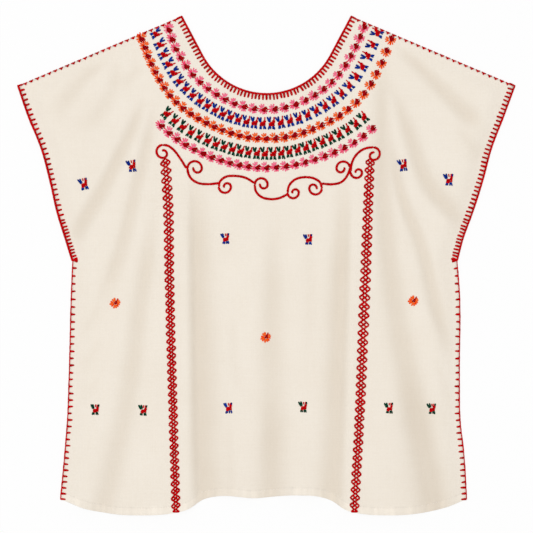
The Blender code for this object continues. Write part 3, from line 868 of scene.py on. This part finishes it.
# Unevenness of the hand: a stroke's ends, bow and tone, and a yoke motif's turn
HAND_PLACE, HAND_BOW, HAND_TONE, HAND_TURN = 0.17 * MM, 0.10 * MM, 0.16, 0.06
HAND_SLIDE = 0.2 * MM  # how far a shoulder stitch's ends stray along the edge
# How far outside the edge blanket stitches start and their purls lie, over a purl's width, and how
# far the purls lap, over their step
TICK_OUT, PURL_OUT, PURL_LAP = 0.4, 0.45, 0.22
TICK_BOW, TICK_LEAN = 0.08 * MM, 0.06
STEM_ASLANT = 0.22  # how far a stem stitch's ends lie aside, over its width


def parts_of(motif, coloured):
    """Gives each of a motif's parts: its name, its thread, and its strand rows about the middle."""
    threads = {"coloured": coloured, "red": "red", "heart": "dark_red"}
    for part, strokes in motif.items():
        rows = np.array(strokes)
        yield part, threads[part], np.column_stack([rows[:, :5] * MM, np.zeros(len(rows)), rows[:, 5]])


def stamped(rows, places, chance):
    """Strand rows repeated at places of x, y, turn and scale, each a little uneven by hand."""
    x, y, turn, scale = places[:, :4].T[:, :, None]
    out = np.broadcast_to(rows, (len(places), *rows.shape)).copy()
    for k in (0, 2):
        px, py = rows[None, :, k] * scale, rows[None, :, k + 1] * scale
        out[..., k] = x + px * np.cos(turn) - py * np.sin(turn)
        out[..., k + 1] = y + px * np.sin(turn) + py * np.cos(turn)
    out = out.reshape(-1, rows.shape[1])
    out[:, :4] += chance.normal(0.0, HAND_PLACE, (len(out), 4))
    out[:, 4] *= chance.uniform(0.92, 1.10, len(out))
    out[:, 5] = chance.normal(0.0, HAND_BOW, len(out))
    out[:, 6] = np.clip(out[:, 6] + chance.normal(0.0, HAND_TONE, len(out)), 0.0, 1.0)
    return out


def read_off(points, knots, at):
    """The points at some places along a line whose own points lie at the knots."""
    return np.stack([np.interp(at, knots, points[:, k]) for k in (0, 1)], axis=-1)


def even_line(points, pitch, taper=0.0):
    """A line of points read off again at steps of about one pitch.

    The steps are longer at the start and shorter at the end by the taper: share = t + taper t (1 - t).
    """
    knots = run_lengths(points)
    t = np.linspace(0.0, 1.0, int(round(knots[-1] / pitch)) + 1)
    return read_off(points, knots, knots[-1] * (t + taper * t * (1.0 - t)))


def left_of(line):
    """Unit directions to the left of a line's run."""
    run = np.gradient(line, axis=0)
    run /= np.linalg.norm(run, axis=1)[:, None]
    return np.stack([-run[:, 1], run[:, 0]], axis=-1)


def side_line(side, top, bottom):
    """Points down one side edge between two heights."""
    y = np.linspace(top, bottom, EDGE_POINTS)
    return np.stack([edge_x(y, side), y], axis=-1)


def half_row(half):
    """How far out each motif of a half row stands: reach ((1 - spread) t + spread t^3)."""
    t = np.arange(1, half.count + 1) / half.count
    return half.reach * MM * ((1.0 - half.spread) * t + half.spread * t**3)


def strand_rows(start, end, width, bow, tone):
    """Rows of strands from their ends, with a width, a bow and a tone for each or one for all."""
    each = [np.broadcast_to(value, len(start)) for value in (width, bow, tone)]
    return np.column_stack([start, end, *each])


def linked_rows(line, overlap, width, uneven, tones, chance):
    """Strands from each point of a line to the next, each lapping over both by a share of the step."""
    step = line[1:] - line[:-1]
    widths = width * chance.uniform(1.0 - uneven, 1.0 + uneven, len(step))
    lap = step * overlap
    return strand_rows(line[:-1] - lap, line[1:] + lap, widths, 0.0, chance.uniform(*tones, len(step)))


def blanket_rows(line, inward, reach, tick, purl, chance):
    """Blanket stitch along an edge: ticks that run in from it, and the purls that join them.

    inward is 1 where the cloth is on the line's left. The purls overlap, just outside the edge.
    """
    across = left_of(line) * inward
    along = np.stack([across[:, 1], -across[:, 0]], axis=-1)
    count = len(line)
    lean = chance.normal(0.0, TICK_LEAN, count)[:, None]
    far = reach * chance.uniform(0.9, 1.08, count)[:, None]
    ticks = strand_rows(
        line - across * TICK_OUT * purl,
        line + across * far + along * lean * far,
        tick * chance.uniform(0.9, 1.1, count),
        chance.normal(0.0, TICK_BOW, count),
        chance.uniform(0.2, 0.9, count),
    )
    purls = linked_rows(line - across * PURL_OUT * purl, PURL_LAP, purl, 0.06, (0.3, 0.9), chance)
    return np.concatenate([ticks, purls])


def tack_rows(corner, inward):
    """The tack at an underarm: stitches fanned out from the corner into the cloth."""
    angle = np.radians(UNDERARM_TACK)
    ends = corner + np.stack([inward * np.cos(angle), np.sin(angle)], axis=-1) * TACK_REACH
    starts = np.broadcast_to(corner - np.array([inward * 0.8 * MM, 0.0]), ends.shape)
    return strand_rows(starts, ends, TACK_WIDTH, 0.0, np.linspace(0.2, 0.9, len(angle)))


def wrapped_strands(name, line, inward, reach, widths, tones, lean):
    """Strands that go over a joined edge, from the front's face round to the back's underside.

    In the plane across the edge, the strand's way out is -reach (1 - sin a)^1.3 + 0.35 width sin a,
    and its height is the middle of the two cloths + (half their stack + 0.22 width) * sign(cos a)
    |cos a|^0.4, with a from 0 to pi. lean moves its inner ends along the edge.
    """
    across = left_of(line) * -inward
    along = np.stack([across[:, 1], -across[:, 0]], axis=-1)
    a, width = SECTIONS * pi, widths[:, None]
    inner = (1.0 - np.sin(a)) ** 1.3
    out = -np.broadcast_to(reach, len(line))[:, None] * inner + 0.35 * width * np.sin(a)
    top, low = (height(*line.T)[:, None] for height in (front_height, back_height))
    half = 0.5 * (top - low) + 0.22 * width
    z = 0.5 * (top + low) + half * np.sign(np.cos(a)) * np.abs(np.cos(a)) ** 0.4
    slide = lean[:, None] * inner
    flat = line[:, None] + across[:, None] * out[..., None] + along[:, None] * slide[..., None]
    level = np.pad(along, ((0, 0), (0, 1)))[:, None]
    return strands_mesh(name, np.dstack([flat, z]), level, widths, tones)


def stem_rows(line, width, chance):
    """Stem stitch along a line: strands that overlap by half, each a little aslant to it."""
    across = left_of(line)
    aside = across * STEM_ASLANT * width
    start, end = line[:-2] - aside[:-2], line[2:] + aside[2:]
    sag = np.sum((line[1:-1] - 0.5 * (start + end)) * across[1:-1], axis=1)
    widths = width * chance.uniform(0.93, 1.07, len(start))
    return strand_rows(start, end, widths, sag, chance.uniform(0.2, 0.9, len(start)))


def curl_line(curl):
    """A curl from its outside in: half a turn at its radius, then a tighter arc that goes on from it.

    The tighter arc is centred where the two meet at the same slope.
    """
    outer = radians(curl.start) + curl.hand * np.linspace(0.0, pi, ARC_POINTS)
    inner = outer[-1] + curl.hand * np.linspace(0.0, CURL_END, ARC_POINTS)[1:]
    shift = (1.0 - CURL_TIGHTER) * np.array([cos(outer[-1]), sin(outer[-1])])
    wide = np.stack([np.cos(outer), np.sin(outer)], axis=-1)
    tight = CURL_TIGHTER * np.stack([np.cos(inner), np.sin(inner)], axis=-1) + shift
    return (np.array([curl.x, curl.y]) + curl.radius * np.concatenate([wide, tight])) * MM


def strip_line(side):
    """The diamonds' ends down a strip: where the sum of each run over its pitch is a whole number."""
    table = np.array(STRIPS[::-1])
    y = np.linspace(STRIPS[0].y, STRIPS[-1].y, STRIP_POINTS)
    x = curve_through(table[:, 0], table[:, side], y)
    pitch = np.interp(y, table[:, 0], table[:, side + 2])
    cells = np.cumsum(np.hypot(np.gradient(x), np.gradient(y)) / pitch)
    at = np.arange(int(round(cells[-1])) + 1) * cells[-1] / round(cells[-1])
    return read_off(np.stack([x, y], axis=-1), cells, at) * MM


def diamond_rows(side, chance):
    """A chain of diamonds, each six strands: three crossing three, its points touching the next.

    The last one is left open on the hem, as two feet with a stitch between them.
    """
    line = strip_line(side)
    half_w, half_h = DIAMOND_HALF * DIAMOND_WIDTH, DIAMOND_HALF * DIAMOND_PITCH
    rows = []
    for shift in (-0.5, 0.0, 0.5):
        for turn in (-1.0, 1.0):
            start = -half_w * (0.5 - shift), turn * half_h * (shift + 0.5)
            end = half_w * (0.5 + shift), turn * half_h * (shift - 0.5)
            rows.append((*start, *end, DIAMOND_STRAND, 0.0, 0.5 + 0.3 * turn * (1 - 2 * abs(shift))))
    rows = np.array(rows)
    rows[:, [1, 3]] += rows[:, [0, 2]] * STRIP_SLANTS[side - 1]
    run = line[1:] - line[:-1]
    turn, size = np.arctan2(run[:, 0], -run[:, 1]), np.hypot(*run.T) / DIAMOND_PITCH
    chain = stamped(rows, np.column_stack([0.5 * (line[:-1] + line[1:]), turn, size]), chance)
    x, y = line[-1]
    low = hem_y(x) + FOOT_RISE
    feet = [
        (x + x0 * MM, low if x0 < -1 else y, x + x1 * MM, low, DIAMOND_STRAND, 0.0, 0.6)
        for x0, x1 in DIAMOND_FEET
    ]
    return np.concatenate([chain, feet])


# ---------------------------------------------------------------------------------------------
# Settings
# ---------------------------------------------------------------------------------------------


def colour(name, description, default):
    """A colour setting."""
    return FloatVectorProperty(
        name=name, description=description, default=default, subtype="COLOR", size=3, min=0.0, max=1.0
    )


def length(name, description, default):
    """A length setting, given in millimetres and kept in metres."""
    return FloatProperty(name=name, description=description, default=default * MM, unit="LENGTH", min=0.0)


class BlouseClothSettings(PropertyGroup):
    """Sizes and colours of the cotton cloth."""

    colour: colour("Cotton", "The cloth's own colour", (0.900, 0.828, 0.728))
    shade_colour: colour("Cotton, deep", "The cloth's colour in its thicker threads", (0.845, 0.762, 0.650))
    # A warm painted shade that dims the cloth deep in its folds
    painted_shade_colour: colour("Fold tint", "The cloth's warmer tone deep in its folds", (0.865, 0.838, 0.805))
    hem_thread: colour("Hem thread", "The hem's stitches", (0.960, 0.900, 0.820))
    thread_pitch: length("Thread pitch", "Distance from one thread of the weave to the next", 0.55)
    hem_width: length("Hem width", "Distance of the hem's stitches from the edge", 9.4)
    pucker_pitch: length("Pucker pitch", "Distance from one pucker of the hem to the next", 4.2)


class BlouseThreadSettings(PropertyGroup):
    """Colours of the threads, each with its deeper tone."""

    red: colour("Red", "The edgings, scroll and strips", (0.640, 0.001, 0.003))
    red_deep: colour("Red, deep", "The red thread's deeper tone", (0.380, 0.000, 0.001))
    dark_red: colour("Dark red", "The flowers' hearts", (0.430, 0.001, 0.004))
    dark_red_deep: colour("Dark red, deep", "The dark red thread's deeper tone", (0.220, 0.000, 0.002))
    pink: colour("Pink", "The pink rows' petals", (1.0, 0.200, 0.330))
    pink_deep: colour("Pink, deep", "The pink thread's deeper tone", (0.960, 0.045, 0.150))
    orange: colour("Orange", "The orange row's petals", (1.0, 0.165, 0.030))
    orange_deep: colour("Orange, deep", "The orange thread's deeper tone", (1.0, 0.065, 0.002))
    blue: colour("Blue", "The blue figures", (0.004, 0.042, 0.350))
    blue_deep: colour("Blue, deep", "The blue thread's deeper tone", (0.001, 0.007, 0.150))
    green: colour("Green", "The green figures", (0.002, 0.070, 0.034))
    green_deep: colour("Green, deep", "The green thread's deeper tone", (0.001, 0.022, 0.012))


class BlouseStitchSettings(PropertyGroup):
    """Sizes of the stitches."""

    neck_pitch: length("Neck pitch", "Mean distance between the neck's blanket stitches", 5.15)
    neck_reach: length("Neck reach", "Length of the neck's blanket stitches", 7.3)
    sleeve_pitch: length("Sleeve pitch", "Distance between the sleeves' blanket stitches", 6.7)
    sleeve_close_pitch: length("Sleeve pitch, close", "The same near the underarms", 4.8)
    sleeve_reach: length("Sleeve reach", "Length of the sleeves' blanket stitches", 6.6)
    side_pitch: length("Side pitch", "Distance between the side seams' stitches", 9.4)
    side_reach: length("Side reach", "Length of the side seams' stitches", 5.6)
    shoulder_pitch: length("Shoulder pitch", "Distance between the shoulder joins' stitches", 9.1)
    scroll_width: length("Scroll width", "Width of the scroll's thread", 3.0)
    hem_stitch: length("Hem stitch", "Length of one of the hem's stitches", 2.0)
    hem_pitch: length("Hem pitch", "Distance between the hem's stitches", 4.2)
    seed: IntProperty(name="Seed", description="Sets the unevenness of the hand stitches", default=SEED)


class BlouseStageSettings(PropertyGroup):
    """The floor, the lights and the camera."""

    field: length("Field", "Width that the camera takes in", 735.5)
    camera_height: length("Camera height", "Camera over the floor", 3000.0)
    key_power: FloatProperty(
        name="Key light", description="Power of the large light overhead", default=116.0, unit="POWER"
    )
    floor_glow: FloatProperty(
        name="Floor glow", description="The floor's own light, which softens shadows", default=0.838, min=0.0
    )
    sky: FloatProperty(name="Sky", description="Strength of the even light all round", default=0.61, min=0.0)


class BlouseSettings(PropertyGroup):
    """All of the blouse's settings."""

    cloth: PointerProperty(type=BlouseClothSettings)
    threads: PointerProperty(type=BlouseThreadSettings)
    stitches: PointerProperty(type=BlouseStitchSettings)
    stage: PointerProperty(type=BlouseStageSettings)


def thread(context, name):
    """The material of a thread, made once, from the settings' two tones."""
    found = bpy.data.materials.get(f"{name}_floss")
    if found:
        return found
    colours = context.scene.blouse.threads
    return thread_material(f"{name}_floss", getattr(colours, name), getattr(colours, f"{name}_deep"))


def threaded(context, obj, name, *nodes):
    """A piece of stitches finished in one thread."""
    return dressed(obj, thread(context, name), f"{name}_thread", *nodes)


def on_both_cloths(context, name, rows):
    """An edging's red stitches, on the front's face and on the back's underside."""
    for cloth, height, side in (("front", front_height, 1.0), ("back", back_height, -1.0)):
        piece = laid_strands(f"{name}_stitches_{cloth}", rows, height, side)
        threaded(context, piece, "red", f"{name}_edging_{cloth}")


def embroidered(context, name, motif, coloured, places, chance):
    """A motif worked at its places, as one piece for each of its threads."""
    for part, thread_name, rows in parts_of(motif, coloured):
        piece = laid_strands(f"{name}_{part}", stamped(rows, places, chance), front_height)
        threaded(context, piece, thread_name)


def chance_of(context, offset):
    """A seeded source of unevenness, one for each piece."""
    return np.random.default_rng(context.scene.blouse.stitches.seed * 100 + offset)


# ---------------------------------------------------------------------------------------------
# Operators
# ---------------------------------------------------------------------------------------------


FLOOR_HALF = 4.0
FLOOR_GREY = (0.15, 0.15, 0.15, 1.0)
LAMP_PLACE, LAMP_SIZE = (-0.45, 0.35, 5.0), 3.0
CAMERA_Y = -1.4 * MM


class BlouseOperator(Operator):
    """Base of the blouse's operators."""

    bl_options = {"REGISTER", "UNDO"}


class OBJECT_OT_blouse_front(BlouseOperator):
    """Lays the front, with its folds and its turned-up hem"""

    bl_idname = "object.blouse_front"
    bl_label = "Front"

    def execute(self, context):
        front = cloth_shell("front_cloth", front_height, -1.0, True)
        dressed(front, cotton_material(context.scene.blouse.cloth), "cotton_cloth", "front_panel")
        return {"FINISHED"}


class OBJECT_OT_blouse_back(BlouseOperator):
    """Lays the back flat, its underside down"""

    bl_idname = "object.blouse_back"
    bl_label = "Back"

    def execute(self, context):
        back = cloth_shell("back_cloth", back_height, 1.0, False)
        dressed(back, bpy.data.materials["unbleached_cotton"], "cotton_cloth", "back_panel")
        return {"FINISHED"}


class OBJECT_OT_blouse_hem(BlouseOperator):
    """Works the running stitch that holds the front's hem"""

    bl_idname = "object.blouse_hem"
    bl_label = "Hem stitches"

    def execute(self, context):
        sizes, cloth = context.scene.blouse.stitches, context.scene.blouse.cloth
        x = np.linspace(HEM_LINE[0].x + 3.0, HEM_LINE[-1].x - 3.0, HEM_POINTS) * MM
        line = even_line(np.stack([x, hem_y(x)], axis=-1), sizes.hem_pitch)
        line = line + left_of(line) * cloth.hem_width
        chance = chance_of(context, 60)
        half = 0.5 * sizes.hem_stitch * np.gradient(line, axis=0) / sizes.hem_pitch
        widths = HEM_THREAD * chance.uniform(0.85, 1.15, len(line))
        rows = strand_rows(line - half, line + half, widths, 0.0, chance.uniform(0.3, 1.0, len(line)))
        cream = thread_material("cream_floss", cloth.hem_thread, cloth.colour)
        dressed(laid_strands("hem_stitches", rows, front_height), cream, "cotton_cloth")
        return {"FINISHED"}


class OBJECT_OT_blouse_neck_edging(BlouseOperator):
    """Works the neck's blanket stitch, on the front and on the back"""

    bl_idname = "object.blouse_neck_edging"
    bl_label = "Neck edging"

    def execute(self, context):
        sizes = context.scene.blouse.stitches
        reach = 0.5 * neck_length(0.0)
        half = half_row(Half(int(reach / sizes.neck_pitch), reach / MM, NECK_SPREAD, 0.0)) / reach
        line, _ = neck_line(0.0, np.concatenate([-half[::-1], [0.0], half]))
        rows = blanket_rows(line, -1.0, sizes.neck_reach, NECK_TICK, NECK_PURL, chance_of(context, 1))
        on_both_cloths(context, "neck", rows)
        return {"FINISHED"}


class OBJECT_OT_blouse_sleeve_edgings(BlouseOperator):
    """Works the blanket stitch round both sleeve openings"""

    bl_idname = "object.blouse_sleeve_edgings"
    bl_label = "Sleeve edgings"

    def execute(self, context):
        sizes = context.scene.blouse.stitches
        for side, name, inward in SIDES_OF_CUT:
            size = SLEEVE_SIZES[name]
            wide = even_line(side_line(side, SLEEVE_TIP_Y, SLEEVE_CLOSE_Y), sizes.sleeve_pitch / size)
            close = even_line(side_line(side, SLEEVE_CLOSE_Y, UNDERARM_Y), sizes.sleeve_close_pitch)
            line = np.concatenate([wide, close[1:]])
            reach, purl = sizes.sleeve_reach * size, SLEEVE_PURL / size
            rows = blanket_rows(line, inward, reach, SLEEVE_TICK, purl, chance_of(context, 1 + side))
            rows = np.concatenate([rows, tack_rows(line[-1], inward)])
            on_both_cloths(context, f"{name}_sleeve", rows)
        return {"FINISHED"}


class OBJECT_OT_blouse_side_edgings(BlouseOperator):
    """Works the stitches that join front and back down both sides"""

    bl_idname = "object.blouse_side_edgings"
    bl_label = "Side edgings"

    def execute(self, context):
        sizes = context.scene.blouse.stitches
        for side, name, inward in SIDES_OF_CUT:
            chance = chance_of(context, 5 + side)
            edge = side_line(side, UNDERARM_Y, CORNER_Y)
            line = even_line(edge, sizes.side_pitch, 0.17)
            count = len(line)
            ticks = wrapped_strands(
                f"{name}_side_stitches",
                line,
                inward,
                sizes.side_reach * chance.uniform(0.8, 1.15, count) * np.linspace(0.85, 1.15, count),
                SIDE_TICK * chance.uniform(0.9, 1.1, count),
                chance.uniform(0.2, 0.9, count),
                chance.normal(0.0, 0.35 * MM, count),
            )
            threaded(context, ticks, "red")
            fine = even_line(edge, 0.5 * sizes.side_pitch)
            out = fine - left_of(fine) * inward * 0.5 * MM
            rows = linked_rows(out, 0.2, SIDE_THREAD, 0.15, (0.4, 1.0), chance)
            joining = laid_strands(f"{name}_side_line", rows, seam_height)
            threaded(context, joining, "red", f"{name}_side_edging")
        return {"FINISHED"}


class OBJECT_OT_blouse_shoulder_joins(BlouseOperator):
    """Works the small triangles of stitches over both shoulders"""

    bl_idname = "object.blouse_shoulder_joins"
    bl_label = "Shoulder joins"

    def execute(self, context):
        sizes = context.scene.blouse.stitches
        neck, _ = neck_line(0.0, np.array([-1.0, 1.0]))
        for side, name, inward in SIDES_OF_CUT:
            chance = chance_of(context, 9 + side)
            ends = np.array([neck[side - 1], (SLEEVE_EDGE[0][side] * MM, SLEEVE_TIP_Y)])
            line = even_line(ends, sizes.shoulder_pitch)[1:-1]
            run = (ends[1] - ends[0]) / np.linalg.norm(ends[1] - ends[0])
            points = (line[:, None] + run * SHOULDER_FAN[:, None]).reshape(-1, 2)
            count = len(points)
            join = wrapped_strands(
                f"{name}_shoulder_stitches",
                points,
                inward,
                np.tile(SHOULDER_REACH, len(line)) * MM * chance.uniform(0.85, 1.1, count),
                SHOULDER_THREAD * chance.uniform(0.9, 1.1, count),
                chance.uniform(0.2, 0.9, count),
                np.tile(SHOULDER_FAN, len(line)) * inward + chance.normal(0.0, HAND_SLIDE, count),
            )
            threaded(context, join, "red")
        return {"FINISHED"}


class OBJECT_OT_blouse_yoke(BlouseOperator):
    """Embroiders the yoke's five rows of flowers and figures"""

    bl_idname = "object.blouse_yoke"
    bl_label = "Yoke rows"

    def execute(self, context):
        for k, row in enumerate(YOKE_ROWS):
            chance = chance_of(context, 20 + k)
            along = np.concatenate([-half_row(row.left)[::-1], [0.0], half_row(row.right)])
            along = along + row.middle * MM
            share = along / (0.5 * neck_length(row.offset * MM))
            points, inward = neck_line(row.offset * MM, share)
            back_in = 1.0 - BULGE_LOSS * smoothstep(*BULGE_TO, np.abs(share))
            most = np.where(along < 0, row.left.bulge, row.right.bulge) * MM
            bulge = smoothstep(*BULGE_FROM, np.abs(along)) * back_in * most
            points = points - inward * bulge[:, None]
            turn = np.arctan2(inward[:, 1], inward[:, 0]) - pi / 2 + chance.normal(0.0, HAND_TURN, len(along))
            places = np.column_stack([points, turn, chance.uniform(0.95, 1.05, len(along))])
            motif = YOKE_FLOWER if row.motif == "flower" else YOKE_FIGURE
            embroidered(context, f"yoke_{row.name}", motif, row.thread, places, chance)
        return {"FINISHED"}


class OBJECT_OT_blouse_scroll(BlouseOperator):
    """Embroiders the scroll under the yoke in stem stitch"""

    bl_idname = "object.blouse_scroll"
    bl_label = "Scroll"

    def execute(self, context):
        chance = chance_of(context, 30)
        lines = [smooth_line(points, step=1.0 * MM) for points in VINE]
        lines += [curl_line(curl) for curl in CURLS]
        width = context.scene.blouse.stitches.scroll_width
        rows = [stem_rows(even_line(line, SCROLL_STEP), width, chance) for line in lines]
        scroll = laid_strands("scroll_stitches", np.concatenate(rows), front_height)
        threaded(context, scroll, "red")
        return {"FINISHED"}


class OBJECT_OT_blouse_strips(BlouseOperator):
    """Embroiders the two strips of lattice diamonds"""

    bl_idname = "object.blouse_strips"
    bl_label = "Diamond strips"

    def execute(self, context):
        for side, name, _ in SIDES_OF_CUT:
            rows = diamond_rows(side, chance_of(context, 40 + side))
            strip = laid_strands(f"{name}_diamond_strip", rows, front_height)
            threaded(context, strip, "red")
        return {"FINISHED"}


class OBJECT_OT_blouse_motifs(BlouseOperator):
    """Embroiders the small figures and flowers that stand alone"""

    bl_idname = "object.blouse_motifs"
    bl_label = "Lone motifs"

    def execute(self, context):
        chance = chance_of(context, 50)
        for kind, name in dict.fromkeys((m.motif, m.thread) for m in LONE_MOTIFS):
            found = [m for m in LONE_MOTIFS if (m.motif, m.thread) == (kind, name)]
            places = np.array([(m.x * MM, m.y * MM, radians(m.turn), m.size) for m in found])
            motif = LONE_FLOWER if kind == "flower" else LONE_FIGURE
            embroidered(context, f"lone_{name}_{kind}s", motif, name, places, chance)
        return {"FINISHED"}


class OBJECT_OT_blouse_stage(BlouseOperator):
    """Sets out the floor, the lights and the camera"""

    bl_idname = "object.blouse_stage"
    bl_label = "Stage"

    def execute(self, context):
        look = context.scene.blouse.stage
        scene = context.scene
        edge = np.array([(-1, -1, 0), (1, -1, 0), (1, 1, 0), (-1, 1, 0)]) * FLOOR_HALF
        floor = mesh_of("floor", edge, np.array([[0, 1, 2, 3]]))
        made, _, shader = material("pale_floor", 1.0, 0.0)
        shader.inputs["Base Color"].default_value = FLOOR_GREY
        shader.inputs["Emission Color"].default_value = (1.0, 1.0, 1.0, 1.0)
        shader.inputs["Emission Strength"].default_value = look.floor_glow
        shader.inputs["Specular IOR Level"].default_value = 0.0
        floor.data.materials.append(made)

        key = bpy.data.lights.new("key", "AREA")
        key.energy, key.size = look.key_power, LAMP_SIZE
        lamp = bpy.data.objects.new("key", key)
        lamp.location = LAMP_PLACE
        lamp.rotation_mode = "QUATERNION"
        lamp.rotation_quaternion = lamp.location.to_track_quat("Z", "Y")
        scene.collection.objects.link(lamp)

        world = bpy.data.worlds.new("soft_sky")
        world.use_nodes = True
        sky = world.node_tree.nodes["Background"]
        sky.inputs["Color"].default_value = (1.0, 1.0, 1.0, 1.0)
        sky.inputs["Strength"].default_value = look.sky
        scene.world = world
        scene.view_settings.view_transform = "Standard"

        camera = bpy.data.cameras.new("camera")
        camera.lens = camera.sensor_width * look.camera_height / look.field
        camera.clip_end = 20.0
        eye = bpy.data.objects.new("camera", camera)
        eye.location = (0.0, CAMERA_Y, look.camera_height)
        scene.collection.objects.link(eye)
        scene.camera = eye
        return {"FINISHED"}


OPERATORS = (
    OBJECT_OT_blouse_front,
    OBJECT_OT_blouse_back,
    OBJECT_OT_blouse_hem,
    OBJECT_OT_blouse_neck_edging,
    OBJECT_OT_blouse_sleeve_edgings,
    OBJECT_OT_blouse_side_edgings,
    OBJECT_OT_blouse_shoulder_joins,
    OBJECT_OT_blouse_yoke,
    OBJECT_OT_blouse_scroll,
    OBJECT_OT_blouse_strips,
    OBJECT_OT_blouse_motifs,
    OBJECT_OT_blouse_stage,
)


class VIEW3D_PT_blouse(Panel):
    """Lists the blouse's pieces and settings."""

    bl_label = "Huipil blouse"
    bl_space_type = "VIEW_3D"
    bl_region_type = "UI"
    bl_category = "Blouse"

    def draw(self, context):
        settings = context.scene.blouse
        for operator in OPERATORS:
            self.layout.operator(operator.bl_idname)
        for group in (settings.cloth, settings.threads, settings.stitches, settings.stage):
            box = self.layout.box()
            for name in type(group).__annotations__:
                box.prop(group, name)


CLASSES = (
    BlouseClothSettings,
    BlouseThreadSettings,
    BlouseStitchSettings,
    BlouseStageSettings,
    BlouseSettings,
    *OPERATORS,
    VIEW3D_PT_blouse,
)


def register():
    """Registers the classes and puts the settings on the scene."""
    for cls in CLASSES:
        bpy.utils.register_class(cls)
    bpy.types.Scene.blouse = PointerProperty(type=BlouseSettings)


def unregister():
    """Takes the settings and the classes away again."""
    del bpy.types.Scene.blouse
    for cls in reversed(CLASSES):
        bpy.utils.unregister_class(cls)


def main():
    """Makes every piece in order."""
    register()
    for operator in OPERATORS:
        getattr(bpy.ops.object, operator.bl_idname.split(".")[1])()


if __name__ == "__main__":
    main()
